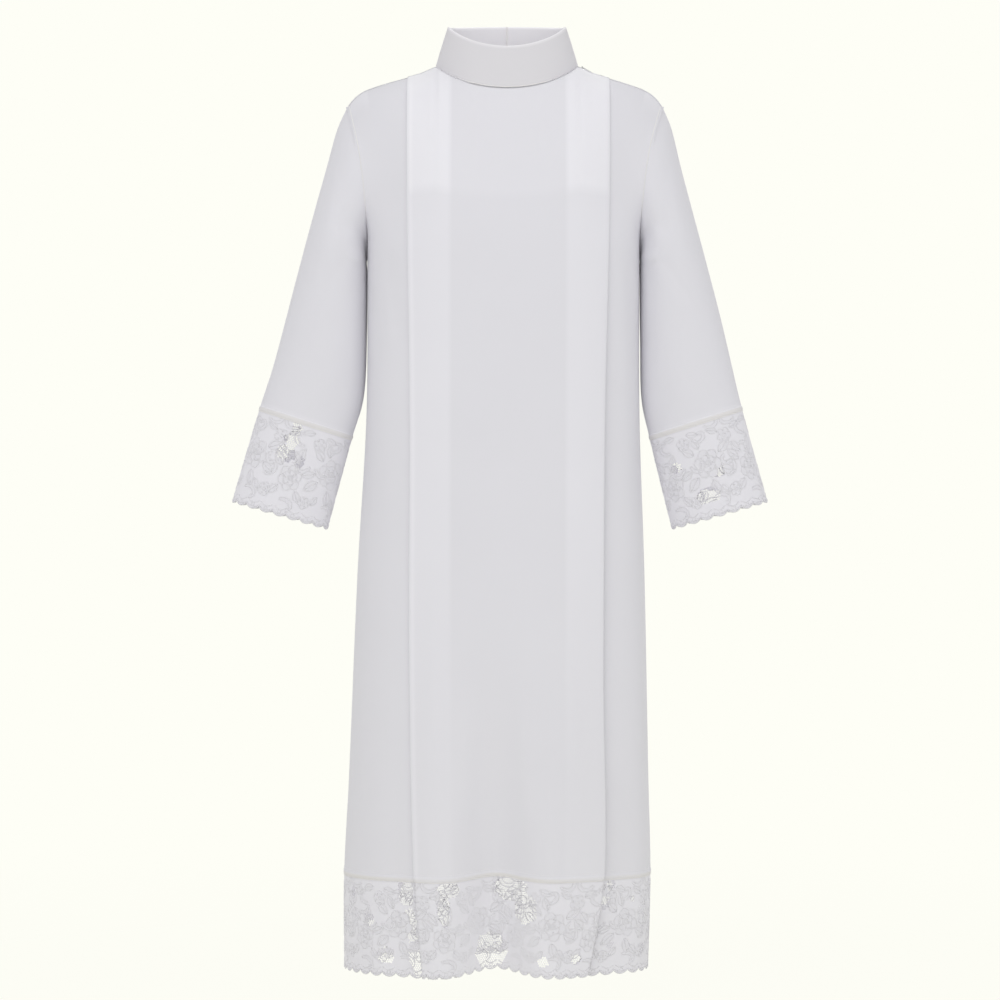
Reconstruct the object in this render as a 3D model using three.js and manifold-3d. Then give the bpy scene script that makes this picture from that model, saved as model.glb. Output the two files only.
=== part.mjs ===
// An alb: a long white church robe with a stand collar, two knife pleats in front,
// set-in sleeves, a zip along one shoulder, and lace at the hem and the cuffs.
// It is filled out as if worn, and it is hollow and open at neck, hem and cuffs.
// Millimetres, +Z up, the front faces -Y, +X is the wearer's left.
// The origin is the point on the wearer between the shoulders, at the height of the collar's foot.
import * as THREE from "three";
import { mergeVertices } from "three/addons/utils/BufferGeometryUtils.js";
import Module from "manifold-3d";

// Cloth
const CLOTH = 1.0;
const COLLAR_WALL = 3.0;
const LACE = 1.1;
const PLEAT_PITCH = 1.6;
const SEAM_GAP = 0.5;
const ARMHOLE_GAP = 1.3;

// Heights, as levels below the origin
const ARMPIT_LEVEL = 280;
const LACE_LEVEL = 1200;
const HEM_LEVEL = 1340;
const FACING_LEVEL = 190;
const SHOULDER_TIP_Z = -50;

// Half the depth of an armhole from front to back, and how round its upper and lower halves are
const ARMHOLE_OUT = 60;
const ARMHOLE_ROUND = { upper: 0.6, lower: 1.4 };

// How square the body's sections are: 2 is an oval, and a higher power is squarer
const SHOULDER_POWER = 3;
const BODY_POWER = 2.4;

// How fast the cloth turns down from the shoulder seam, in the middle and at the armholes
const CROWN = { middle: 2.6, side: 4 };

// The way out of the cloth along the sewn top edge, at the neck and at the shoulders
const NECK_LEAN = { out: 0.93, up: 0.37 };
const SHOULDER_LEAN = { out: 0.03, up: 1 };
const NECK_REACH = { from: 40, to: 115 };

// The neck: the foot and the rim of the stand collar
const NECK_X = 4.5;
const COLLAR_FOOT = { half: 105, front: 76, back: 70, sideZ: 9.35, frontZ: -30, backZ: 20 };
const COLLAR_RIM = { half: 87, front: 61, back: 60, sideZ: 67.5, frontZ: 31, backZ: 76 };

// The neckline runs this far below the collar's foot, and further at the shoulder seams
const NECKLINE = { below: 1.4, atShoulder: 2.65 };

// The shoulder seam: how far it slopes down before it rounds off at the tip
const SHOULDER_DROP = 38;
const SHOULDER_ROUNDING = 8;
const SHOULDER_DIP = { depth: 3, from: 0.2, to: 0.65 };
const TIP_EASE = { out: 0.3, from: 200, to: 234 };

// Sections of the body, from the shoulder tips to the hem
const BODY = [
  { level: 0, middle: 1.5, half: 234, front: 128, back: 122 },
  { level: 118, middle: 0, half: 213, front: 128, back: 124 },
  { level: 227, middle: -0.5, half: 203.5, front: 128, back: 122 },
  { level: 280, middle: -0.8, half: 203.5, front: 128, back: 122 },
  { level: 510, middle: -1.5, half: 204, front: 130, back: 126 },
  { level: 750, middle: -4.5, half: 214.5, front: 133, back: 131 },
  { level: 1060, middle: -8, half: 224, front: 137, back: 138 },
  { level: 1200, middle: -10, half: 229, front: 139, back: 141 },
  { level: 1350, middle: -12, half: 227, front: 140, back: 143 },
];

// The two knife pleats: the folded edge and the hidden root of each, by level
const PLEATS = [
  { level: 0, foldA: -143, rootA: -79, rootB: 92, foldB: 156, openB: 0 },
  { level: 200, foldA: -142, rootA: -79, rootB: 92, foldB: 155, openB: 0 },
  { level: 500, foldA: -138, rootA: -79, rootB: 91, foldB: 148, openB: 4 },
  { level: 900, foldA: -138, rootA: -78, rootB: 90, foldB: 145, openB: 5 },
  { level: 1200, foldA: -131, rootA: -75, rootB: 88, foldB: 146, openB: 5 },
  { level: 1350, foldA: -118, rootA: -66, rootB: 74, foldB: 121, openB: 6 },
];

// A layer of a pleat eases back to the panel's surface over this share of the side
const RECESS_SHARE = 0.62;

// The yoke facing: layers behind the pleats, and how wide it takes to come forward between them
const FACING = { layers: 3.6, edge: 30 };

// Soft folds of the skirt: out is how far a fold would stand out just below the hem
const FOLDS_FULL_LEVEL = 1400;
const FRONT_FOLDS = [
  { x: -98, width: 42, out: 17, from: 780 },
  { x: -12, width: 44, out: -46, from: 760 },
  { x: 66, width: 40, out: 15, from: 800 },
  { x: 178, width: 30, out: -9, from: 700 },
  { x: -186, width: 26, out: 6, from: 900 },
];
const BACK_FOLDS = [
  { x: -128, width: 38, out: 18, from: 620 },
  { x: -52, width: 40, out: -22, from: 560 },
  { x: 24, width: 36, out: 20, from: 660 },
  { x: 98, width: 42, out: -17, from: 520 },
  { x: 166, width: 30, out: 9, from: 760 },
];

// Rings of a sleeve, from the armhole to the cuff's edge: the outer and the inner side in the
// front view, and half the depth from front to back
const SLEEVE = [
  { row: 0, outX: 234, outZ: -50, inX: 203.5, inZ: -280, depth: 58, y: 0 },
  { row: 1, outX: 249.5, outZ: -87, inX: 204.4, inZ: -285, depth: 60, y: 0 },
  { row: 2, outX: 265.6, outZ: -147, inX: 204.2, inZ: -291, depth: 61, y: 0 },
  { row: 3, outX: 281.7, outZ: -207, inX: 203.9, inZ: -299, depth: 61, y: 0 },
  { row: 4, outX: 297.5, outZ: -265, inX: 203.9, inZ: -312, depth: 59, y: -1 },
  { row: 5, outX: 320.5, outZ: -355, inX: 204.4, inZ: -397, depth: 54, y: -3 },
  { row: 6, outX: 343.3, outZ: -445, inX: 207.5, inZ: -487, depth: 49, y: -5 },
  { row: 7, outX: 360.8, outZ: -508, inX: 223, inZ: -552, depth: 45, y: -7 },
  { row: 8, outX: 400.5, outZ: -646, inX: 258, inZ: -687, depth: 41, y: -10 },
];

// Both sleeves lie a little towards the wearer's right, and more so at the cuffs
const SLEEVE_SHIFT = { below: 0.8, atCuff: 5.4 };
const CUFF_ROW = 7;

// By this row a sleeve's rings are plain ovals
const OVAL_ROW = 3.5;

// The rolled seam above the lace: its height, and how far it reaches up from the lace
const RIDGE = { out: 0.9, tall: 8, rise: 1, rows: 0.1, riseRows: 0.02 };

// Lace: one scallop for each cell, about cellWidth wide, with straight runs between the corners
const CUFF_SCALLOPS = 16;
const BACK_SCALLOPS = 26;
const SCALLOP = { depth: 7, corners: [0.3, 0.7], cellWidth: 22 };
const EYELET = { half: 3.4, up: 1.8, sides: 5 };

// The gap between motifs, in even and in odd cells: its place down the lace, and its size
const MOTIF_GAPS = [
  { down: 0.62, half: 5.9, tall: 9.75 },
  { down: 0.3, half: 5.9, tall: 8.25 },
];

// The shoulder zip, on the wearer's left
const ZIP = { start: 113.5, end: 208, tapeHalf: 11, gapHalf: 3.6, tape: -5.6, chain: -3.2 };
const SLIT = { from: 108, to: 109, close: 5 };
const CHAIN = { half: 2.2, thick: 2.2, start: 122.8, short: 2 };
const SLIDER = { x: 117, near: -4.1, far: 4.8, half: 3, top: 1.4, bottom: -4.3 };
const LUG = { half: 0.8, reach: 1.3, top: 4.2, back: -1 };
const PIN = { radius: 0.5, half: 2.5, height: 3.2 };
const PULL = { length: 16, half: 2.6, plate: 1.2, eye: 1.3, bore: 0.85, neck: 2.4, lie: 6 };
const PULL_SLOT = { from: 6.5, to: 13, half: 0.9 };

const TINY = 1e-6;

const mix = (a, b, f) => a + (b - a) * f;
const clamp = (v, low, high) => Math.min(high, Math.max(low, v));
const smooth = (low, high, v) => {
  const f = clamp((v - low) / (high - low), 0, 1);
  return f * f * (3 - 2 * f);
};

// A value of a table at a key between its rows, on a smooth curve through them.
function along(table, key, name, at) {
  const last = table.length - 1;
  if (at <= table[0][key]) return table[0][name];
  if (at >= table[last][key]) return table[last][name];
  let i = 0;
  while (table[i + 1][key] < at) i += 1;
  const slope = (j) => {
    const a = table[Math.max(0, j - 1)];
    const b = table[Math.min(last, j + 1)];
    return (b[name] - a[name]) / (b[key] - a[key]);
  };
  const step = table[i + 1][key] - table[i][key];
  const f = (at - table[i][key]) / step;
  const f2 = f * f;
  const f3 = f2 * f;
  return (
    (2 * f3 - 3 * f2 + 1) * table[i][name] +
    (f3 - 2 * f2 + f) * step * slope(i) +
    (3 * f2 - 2 * f3) * table[i + 1][name] +
    (f3 - f2) * step * slope(i + 1)
  );
}

const body = (name, level) => along(BODY, "level", name, level);
const pleat = (name, level) => along(PLEATS, "level", name, level);

// A ring of the collar: angle 0 is the front, 90 degrees the wearer's left.
function collarRing(ring, angle) {
  const c = Math.cos(angle);
  const ahead = c > 0;
  const depth = ahead ? ring.front : ring.back;
  const far = ahead ? ring.frontZ : ring.backZ;
  return new THREE.Vector3(
    NECK_X + ring.half * Math.sin(angle),
    -depth * c,
    mix(ring.sideZ, far, Math.abs(c) ** 1.5),
  );
}

// Height of the shoulder seam over x.
function shoulderZ(x) {
  const hand = x < NECK_X ? -1 : 1;
  const corner = NECK_X + hand * COLLAR_FOOT.half;
  const tip = body("middle", 0) + hand * body("half", 0);
  const r = clamp((x - corner) / (tip - corner), 0, 1);
  const start = COLLAR_FOOT.sideZ - NECKLINE.atShoulder;
  const rest = SHOULDER_TIP_Z - start + SHOULDER_DROP;
  const dip = smooth(0, SHOULDER_DIP.from, r) * (1 - smooth(SHOULDER_DIP.to, 1, r));
  const slope = SHOULDER_DROP * r + SHOULDER_DIP.depth * dip;
  return start - slope + rest * r ** SHOULDER_ROUNDING;
}

// The sewn top edge of the front or back: the neckline, then the shoulder seam.
function topEdge(x, isFront) {
  const across = (x - NECK_X) / COLLAR_FOOT.half;
  const slit = smooth(SLIT.from, SLIT.to, x) * (1 - smooth(ZIP.end, ZIP.end + SLIT.close, x));
  const zip = ZIP.gapHalf * slit;
  const tip = TIP_EASE.out * smooth(TIP_EASE.from, TIP_EASE.to, Math.abs(x));
  if (Math.abs(across) >= 1) return { out: zip + tip, z: shoulderZ(x) };
  const turn = Math.asin(across);
  const ring = collarRing(COLLAR_FOOT, isFront ? turn : Math.PI - turn);
  const below = mix(NECKLINE.below, NECKLINE.atShoulder, across ** 4);
  return { out: Math.max(zip, Math.abs(ring.y)), z: ring.z - below };
}

// How far the soft folds move the skirt out at this place. They die away at the side seams.
function foldOut(folds, x, level) {
  const across = clamp(Math.abs(x - body("middle", level)) / body("half", level), 0, 1);
  let sum = 0;
  for (const fold of folds) {
    const near = Math.exp(-(((x - fold.x) / fold.width) ** 2));
    sum += fold.out * near * smooth(fold.from, FOLDS_FULL_LEVEL, level) ** 1.2;
  }
  return sum * (1 - across ** 6);
}

// A point of the front or back, at x and a level, moved out by an offset for its layer.
function bodyPoint(isFront, x, level, offset) {
  const v = clamp(level / ARMPIT_LEVEL, 0, 1);
  const across = clamp(Math.abs(x - body("middle", level)) / body("half", level), 0, 1);
  const lower = smooth(0.6, 1, v);
  const power = mix(SHOULDER_POWER, BODY_POWER, lower);
  const round = mix(1, 1 / BODY_POWER, lower);
  const roundness = mix(ARMHOLE_ROUND.upper, ARMHOLE_ROUND.lower, smooth(0.5, 1, v));
  const edgeOut = ARMHOLE_OUT * Math.sin(Math.PI * v) ** roundness;
  const depth = body(isFront ? "front" : "back", level);
  const sectionOut = depth * (1 - across ** power) ** round + edgeOut * across ** 6;
  const top = topEdge(x, isFront);
  const shoulder = smooth(NECK_REACH.from, NECK_REACH.to, Math.abs(x - NECK_X));
  const overNeck = 1 - (1 - v) ** 2;
  const crown = mix(CROWN.middle, CROWN.side, smooth(0.5, 1, across));
  const overShoulder = (1 - (1 - v) ** crown) ** (1 / crown);
  const ease = mix(overNeck, overShoulder, shoulder);
  const z = v < 1 ? mix(top.z, -ARMPIT_LEVEL, v) : -level;
  const folds = foldOut(isFront ? FRONT_FOLDS : BACK_FOLDS, x, level);
  const out = mix(top.out, sectionOut, ease) + folds + SEAM_GAP / 2;
  const point = new THREE.Vector3(x, isFront ? -out : out, z);
  const leanOut = mix(NECK_LEAN.out, SHOULDER_LEAN.out, shoulder);
  const leanUp = mix(NECK_LEAN.up, SHOULDER_LEAN.up, shoulder);
  const lift = new THREE.Vector3(0, leanOut, leanUp);
  const side = across ** (BODY_POWER - 1) / body("half", level);
  const ahead = (1 - across ** power) ** ((BODY_POWER - 1) / BODY_POWER) / depth + TINY;
  const section = new THREE.Vector3(side * Math.sign(x - body("middle", level)), ahead, 0);
  const away = lift.normalize().lerp(section.normalize(), ease).normalize();
  if (isFront) away.y = -away.y;
  return point.addScaledVector(away, offset);
}

// The front's cloth runs through these zones from the right side seam to the left one.
// Each gives x and the layer's offset at a fraction of its width.
const turnOut = (f) => Math.sin(Math.PI * f) * (PLEAT_PITCH / 2);
const turnRise = (f) => ((1 - Math.cos(Math.PI * f)) / 2) * PLEAT_PITCH;
const recess = (f, open) => -(2 * PLEAT_PITCH + open) * (1 - smooth(0, RECESS_SHARE, f));

const FRONT_ZONES = {
  sideA: (f, l) => {
    const edge = body("middle", l) - body("half", l);
    return [mix(edge, pleat("foldA", l), 1 - Math.cos((f * Math.PI) / 2)), recess(1 - f, 0)];
  },
  underA: (f, l) => [mix(pleat("foldA", l), pleat("rootA", l), f), -2 * PLEAT_PITCH],
  rootTurnA: (f, l) => [pleat("rootA", l) + turnOut(f), -2 * PLEAT_PITCH + turnRise(f)],
  middleA: (f, l) => [mix(pleat("rootA", l), pleat("foldA", l), f), -PLEAT_PITCH],
  foldTurnA: (f, l) => [pleat("foldA", l) - turnOut(f), -PLEAT_PITCH + turnRise(f)],
  topA: (f, l) => [mix(pleat("foldA", l), pleat("rootA", l), f), 0],
  centre: (f, l) => [mix(pleat("rootA", l), pleat("rootB", l), f), 0],
  topB: (f, l) => [mix(pleat("rootB", l), pleat("foldB", l), f), 0],
  foldTurnB: (f, l) => [pleat("foldB", l) + turnOut(f), -turnRise(f)],
  middleB: (f, l) => [mix(pleat("foldB", l), pleat("rootB", l), f), -PLEAT_PITCH],
  rootTurnB: (f, l) => [pleat("rootB", l) - turnOut(f), -PLEAT_PITCH - turnRise(f)],
  underB: (f, l) => [
    mix(pleat("rootB", l), pleat("foldB", l), f),
    -2 * PLEAT_PITCH - pleat("openB", l) * smooth(0, 1, f),
  ],
  sideB: (f, l) => {
    const edge = body("middle", l) + body("half", l);
    return [mix(pleat("foldB", l), edge, Math.sin((f * Math.PI) / 2)), recess(f, pleat("openB", l))];
  },
};

const frontAt = (zone, f, level) => {
  const [x, offset] = FRONT_ZONES[zone](f, level);
  return bodyPoint(true, x, level, offset);
};

const backAt = (zone, f, level) => {
  const x = body("middle", level) - body("half", level) * Math.cos(f * Math.PI);
  return bodyPoint(false, x, level, 0);
};

// The facing lies behind the pleats and comes close to the centre panel between them.
const facingAt = (zone, f, level) => {
  const [x] = FRONT_ZONES[zone](f, level);
  const fromA = smooth(0, FACING.edge, x - pleat("rootA", level));
  const fromB = smooth(0, FACING.edge, pleat("rootB", level) - x);
  return bodyPoint(true, x, level, -mix(FACING.layers * PLEAT_PITCH, PLEAT_PITCH, fromA * fromB));
};

// The armhole's edge: the shoulder tip, the front, the armpit at the middle, then the back.
function armholePoint(hand, t) {
  const isFront = t <= 0.5;
  const s = isFront ? 2 * t : 2 - 2 * t;
  const level = (ARMPIT_LEVEL * (1 - Math.cos(Math.PI * s))) / 2;
  const x = body("middle", level) + hand * body("half", level);
  return bodyPoint(isFront, x, level, 0);
}

// The plane of one ring of a sleeve: its centre, half its width as a vector, and its depth.
function sleeveRing(hand, row) {
  const at = (name) => along(SLEEVE, "row", name, row);
  const shift = SLEEVE_SHIFT.below * smooth(0, 2, row) + SLEEVE_SHIFT.atCuff * smooth(5, 8, row);
  const outer = new THREE.Vector3(hand * at("outX") - shift, at("y"), at("outZ"));
  const inner = new THREE.Vector3(hand * at("inX") - shift, at("y"), at("inZ"));
  const centre = outer.clone().add(inner).multiplyScalar(0.5);
  const half = outer.sub(centre);
  const away = new THREE.Vector3(0, 1, 0).cross(half).normalize();
  return { centre, half, away, depth: at("depth") };
}

// A sleeve's rings change from the armhole's own loop to plain ovals.
function sleevePoint(hand, t, row) {
  const start = sleeveRing(hand, 0);
  const edge = armholePoint(hand, t).sub(start.centre);
  const ring = sleeveRing(hand, row);
  const plain = smooth(0, OVAL_ROW, row);
  const onEdge = edge.dot(start.half) / start.half.lengthSq();
  const onWidth = mix(onEdge, Math.cos(2 * Math.PI * t), plain);
  const ahead = mix(-edge.y / start.depth, Math.sin(2 * Math.PI * t), plain);
  const apart = mix(edge.dot(start.away), 0, plain);
  const point = ring.centre.clone().addScaledVector(ring.half, onWidth);
  point.addScaledVector(ring.away, apart);
  point.y -= ahead * ring.depth;
  point.x += hand * ARMHOLE_GAP;
  return point;
}

const sleeveAt = (hand) => (zone, f, row) => sleevePoint(hand, hand > 0 ? 1 - f : f, row);

// A point of the collar, from its foot at height 0 to its rim at height 1.
const collarAt = (zone, f, height) => {
  const angle = (2 * f - 1) * Math.PI;
  return collarRing(COLLAR_FOOT, angle).lerp(collarRing(COLLAR_RIM, angle), height);
};

// A strip along the shoulder zip: across it by y, and along it by x.
const zipAt = (half, offset) => (zone, f, x) =>
  new THREE.Vector3(x, mix(-half, half, f), shoulderZ(x) + offset);

// Values from one to another in equal steps.
const steps = (from, to, count) => {
  return Array.from({ length: count + 1 }, (_, i) => mix(from, to, i / count));
};

// Spans: neighbouring strips of a sheet, each a part of one zone.
function spansOf(plan) {
  const spans = [];
  for (const [zone, cuts] of plan) {
    const stops = Array.isArray(cuts) ? cuts : steps(0, 1, cuts);
    for (let i = 0; i + 1 < stops.length; i += 1) {
      spans.push({ zone, from: stops[i], to: stops[i + 1] });
    }
  }
  return spans;
}

// A sheet in its own two directions: points with a span number and a level, and triangles.
class Sheet {
  constructor(spans, at, closed = false) {
    this.spans = spans;
    this.at = at;
    this.closed = closed;
    this.points = [];
    this.levels = [];
    this.faces = [];
    this.known = new Map();
  }

  vertex(across, level) {
    const count = this.spans.length;
    const place = this.closed && Math.abs(across - count) < TINY ? 0 : across;
    const key = place.toFixed(4) + "/" + level.toFixed(3);
    if (this.known.has(key)) return this.known.get(key);
    const index = Math.min(count - 1, Math.floor(place + TINY));
    const span = this.spans[index];
    const f = clamp(mix(span.from, span.to, place - index), 0, 1);
    this.points.push(this.at(span.zone, f, level));
    this.levels.push(level);
    this.known.set(key, this.points.length - 1);
    return this.points.length - 1;
  }

  grid(levels) {
    for (let s = 0; s < this.spans.length; s += 1) {
      for (let r = 0; r + 1 < levels.length; r += 1) {
        const a = this.vertex(s, levels[r]);
        const b = this.vertex(s + 1, levels[r]);
        const c = this.vertex(s + 1, levels[r + 1]);
        const d = this.vertex(s, levels[r + 1]);
        this.faces.push([a, d, b], [b, d, c]);
      }
    }
    return this;
  }

  // One strip of lace: a scalloped lower edge, an eyelet above it and a gap between motifs.
  laceCell(s, top, low, unit) {
    const middle = mix(top, low, 0.5);
    const outline = [[s, top], [s, middle], [s, low]];
    for (const f of SCALLOP.corners) {
      outline.push([s + f, low + SCALLOP.depth * unit]);
    }
    outline.push([s + 1, low], [s + 1, middle], [s + 1, top]);
    const { zone, from, to } = this.spans[s];
    const width = this.at(zone, from, low).distanceTo(this.at(zone, to, low));
    const ring = (sides, level, half, tall) =>
      Array.from({ length: sides }, (_, i) => {
        const turn = (2 * Math.PI * (i + 0.5)) / sides;
        return [s + 0.5 + (Math.cos(turn) * half) / width, level + Math.sin(turn) * tall * unit];
      });
    const gap = MOTIF_GAPS[s % 2];
    this.cut(outline, [
      ring(EYELET.sides, low - EYELET.up * unit, EYELET.half, EYELET.half),
      ring(4, mix(top, low, gap.down), gap.half, gap.tall),
    ]);
  }

  plainCell(s, top, low) {
    const middle = mix(top, low, 0.5);
    this.cut([[s, top], [s, middle], [s, low], [s + 1, low], [s + 1, middle], [s + 1, top]], []);
  }

  cut(outline, holes) {
    const flatPoint = ([across, level]) => new THREE.Vector2(across * SCALLOP.cellWidth, -level);
    const flat = (ring) => ring.map(flatPoint);
    const faces = THREE.ShapeUtils.triangulateShape(flat(outline), holes.map(flat));
    const all = [...outline, ...holes.flat()].map(([across, level]) => this.vertex(across, level));
    const area = THREE.ShapeUtils.area(flat(outline));
    for (const [a, b, c] of faces) {
      const turned = area > 0 ? [all[a], all[b], all[c]] : [all[a], all[c], all[b]];
      this.faces.push(turned);
    }
  }
}

// A wall on both sides of a sheet. More wall can be raised on its outer side.
function wallOf(sheet, wall, raised = () => 0) {
  const { points, faces, levels } = sheet;
  const normals = points.map(() => new THREE.Vector3());
  for (const [a, b, c] of faces) {
    const one = points[b].clone().sub(points[a]);
    const two = points[c].clone().sub(points[a]);
    const across = one.cross(two);
    for (const i of [a, b, c]) normals[i].add(across);
  }
  const count = points.length;
  const places = [];
  for (const side of [1, -1]) {
    points.forEach((p, i) => {
      const n = normals[i].clone().normalize();
      const away = side > 0 ? wall / 2 + raised(levels[i]) : -wall / 2;
      places.push(...p.clone().addScaledVector(n, away).toArray());
    });
  }
  const index = [];
  const edges = new Map();
  for (const [a, b, c] of faces) {
    index.push(a, b, c, a + count, c + count, b + count);
    for (const [p, q] of [[a, b], [b, c], [c, a]]) {
      const back = q + "," + p;
      if (edges.has(back)) edges.delete(back);
      else edges.set(p + "," + q, [p, q]);
    }
  }
  for (const [p, q] of edges.values()) {
    index.push(p, p + count, q, q, p + count, q + count);
  }
  const geometry = new THREE.BufferGeometry();
  geometry.setAttribute("position", new THREE.Float32BufferAttribute(places, 3));
  geometry.setIndex(index);
  return geometry;
}

const alb = new THREE.Group();

function add(name, geometry, colour, roughness = 0.85, metalness = 0) {
  const material = new THREE.MeshStandardMaterial({ color: colour, roughness, metalness });
  const mesh = new THREE.Mesh(geometry, material);
  mesh.name = name;
  alb.add(mesh);
  return mesh;
}

const CLOTH_COLOUR = 0xe8e7ec;
const LACE_COLOUR = 0xf1f1f4;
const ZIP_COLOUR = 0xdcdcdc;
const METAL_COLOUR = 0xb9bab8;

// Levels of the rows: close together at the shoulder and at the hem's seam
const ROWS = 10;
const UPPER = steps(0, Math.PI, ROWS).map((turn) => (ARMPIT_LEVEL * (1 - Math.cos(turn))) / 2);
const RIDGE_LEVEL = LACE_LEVEL - RIDGE.tall;
const LOWER = [390, 520, 680, 840, 970, 1090, RIDGE_LEVEL - RIDGE.rise, RIDGE_LEVEL + RIDGE.rise];
const LEVELS = [0, 0.3, 2.2, ...UPPER.slice(1), ...LOWER, LACE_LEVEL];
const hemRidge = (level) => (level > RIDGE_LEVEL ? RIDGE.out : 0);

// Front and back
const bandStops = (hand, root, fold) => {
  const corner = (NECK_X + hand * COLLAR_FOOT.half - root) / (fold - root);
  return [0, corner * 0.45, corner * 0.82, corner, 1];
};
const inward = (stops) => stops.map((f) => 1 - f).reverse();
const BAND_A = bandStops(-1, PLEATS[0].rootA, PLEATS[0].foldA);
const BAND_B = bandStops(1, PLEATS[0].rootB, PLEATS[0].foldB);
const TOP_PLAN = [["topA", inward(BAND_A)], ["centre", 8], ["topB", BAND_B]];
const FRONT_PLAN = [
  ["sideA", 5],
  ["underA", inward(BAND_A)],
  ["rootTurnA", 3],
  ["middleA", BAND_A],
  ["foldTurnA", 3],
  ...TOP_PLAN,
  ["foldTurnB", 3],
  ["middleB", inward(BAND_B)],
  ["rootTurnB", 3],
  ["underB", BAND_B],
  ["sideB", 5],
];
const front = new Sheet(spansOf(FRONT_PLAN), frontAt).grid(LEVELS);
add("front", wallOf(front, CLOTH, hemRidge), CLOTH_COLOUR);

const back = new Sheet(spansOf([["back", steps(1, 0, 18)]]), backAt).grid(LEVELS);
add("back", wallOf(back, CLOTH, hemRidge), CLOTH_COLOUR);

const FACING_LEVELS = [...UPPER.slice(1, 7), FACING_LEVEL];
const facing = new Sheet(spansOf(TOP_PLAN), facingAt).grid(FACING_LEVELS);
add("front_facing", wallOf(facing, CLOTH), CLOTH_COLOUR);

// Sleeves, and lace cuffs in a front and a back half
const RIDGE_ROW = CUFF_ROW - RIDGE.rows;
const RIDGE_ROWS = [RIDGE_ROW - RIDGE.riseRows, RIDGE_ROW + RIDGE.riseRows];
const SLEEVE_ROWS = [...steps(0, 3, 6), 4, 5, 6, ...RIDGE_ROWS, CUFF_ROW];
const cuffRidge = (row) => (row > RIDGE_ROW ? RIDGE.out : 0);
const cuffUnit = 1 / sleevePoint(1, 0, CUFF_ROW).distanceTo(sleevePoint(1, 0, CUFF_ROW + 1));
const seamAround = 0.0012;
for (const [hand, side] of [[1, "left"], [-1, "right"]]) {
  const sleeve = new Sheet(spansOf([["sleeve", 2 * ROWS]]), sleeveAt(hand), true).grid(SLEEVE_ROWS);
  add("sleeve_" + side, wallOf(sleeve, CLOTH, cuffRidge), CLOTH_COLOUR);
  const halves = { front: hand > 0 ? 0.5 : 0, back: hand > 0 ? 0 : 0.5 };
  for (const [half, start] of Object.entries(halves)) {
    const stops = steps(start, start + 0.5, CUFF_SCALLOPS / 2);
    stops[0] += seamAround;
    stops[CUFF_SCALLOPS / 2] -= seamAround;
    const cuff = new Sheet(spansOf([["cuff", stops]]), sleeveAt(hand));
    const low = CUFF_ROW + 1 - SCALLOP.depth * cuffUnit;
    for (let s = 0; s < CUFF_SCALLOPS / 2; s += 1) {
      cuff.laceCell(s, CUFF_ROW + SEAM_GAP * cuffUnit, low, cuffUnit);
    }
    add("cuff_lace_" + side + "_" + half, wallOf(cuff, LACE), LACE_COLOUR);
  }
}

// Lace round the hem: it follows the pleats of the front
const HEM_LOW = HEM_LEVEL - SCALLOP.depth;
const WIDE_ZONES = ["sideA", "centre", "sideB"];
const HEM_PLAN = FRONT_PLAN.map(([zone]) => [zone, WIDE_ZONES.includes(zone) ? 7 : 3]);
function hemLace(spans, at) {
  const lace = new Sheet(spans, at);
  spans.forEach((span, s) => {
    if (span.zone.includes("Turn")) lace.plainCell(s, LACE_LEVEL + SEAM_GAP, HEM_LOW);
    else lace.laceCell(s, LACE_LEVEL + SEAM_GAP, HEM_LOW, 1);
  });
  return wallOf(lace, LACE);
}
add("hem_lace_front", hemLace(spansOf(HEM_PLAN), frontAt), LACE_COLOUR);
const backSpans = spansOf([["back", steps(1, 0, BACK_SCALLOPS)]]);
add("hem_lace_back", hemLace(backSpans, backAt), LACE_COLOUR);

// The stand collar, in two lengths that meet at the centre back and at the zip
const COLLAR_ROWS = [1, 0.94, 0.5, 0];
const COLLAR_LENGTHS = [
  { name: "collar_front", from: 0.0005, to: 0.7485, count: 24 },
  { name: "collar_back", from: 0.7515, to: 0.9995, count: 8 },
];
for (const { name, from, to, count } of COLLAR_LENGTHS) {
  const spans = spansOf([["collar", steps(from, to, count)]]);
  const collar = new Sheet(spans, collarAt).grid(COLLAR_ROWS);
  add(name, wallOf(collar, COLLAR_WALL), CLOTH_COLOUR);
}

// The zip: its tape below the shoulder seam, the closed chain, the slider and its pull tab
const ZIP_ROWS = 8;
const tape = new Sheet(spansOf([["tape", 2]]), zipAt(ZIP.tapeHalf, ZIP.tape));
tape.grid(steps(ZIP.start, ZIP.end, ZIP_ROWS));
add("zip_tape", wallOf(tape, CLOTH), CLOTH_COLOUR);
const chain = new Sheet(spansOf([["chain", 1]]), zipAt(CHAIN.half, ZIP.chain));
chain.grid(steps(CHAIN.start, ZIP.end - CHAIN.short, ZIP_ROWS));
add("zip_chain", wallOf(chain, CHAIN.thick), ZIP_COLOUR, 0.5);

const wasm = await Module();
wasm.setup();

function solidOf(geometry) {
  const bare = geometry.clone();
  bare.deleteAttribute("normal");
  bare.deleteAttribute("uv");
  const merged = mergeVertices(bare, 1e-4);
  const vertProperties = merged.attributes.position.array;
  const triVerts = new Uint32Array(merged.index.array);
  return new wasm.Manifold(new wasm.Mesh({ numProp: 3, vertProperties, triVerts }));
}

function geometryOf(solid) {
  const mesh = solid.getMesh();
  const geometry = new THREE.BufferGeometry();
  geometry.setAttribute("position", new THREE.BufferAttribute(mesh.vertProperties, 3));
  geometry.setIndex(new THREE.BufferAttribute(mesh.triVerts, 1));
  return geometry;
}

function block(fromX, toX, halfY, fromZ, toZ) {
  const box = new THREE.BoxGeometry(toX - fromX, 2 * halfY, toZ - fromZ);
  return solidOf(box.translate((fromX + toX) / 2, 0, (fromZ + toZ) / 2));
}

function roundBar(radius, halfY, x, z, sides = 12) {
  return solidOf(new THREE.CylinderGeometry(radius, radius, 2 * halfY, sides).translate(x, 0, z));
}

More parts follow.
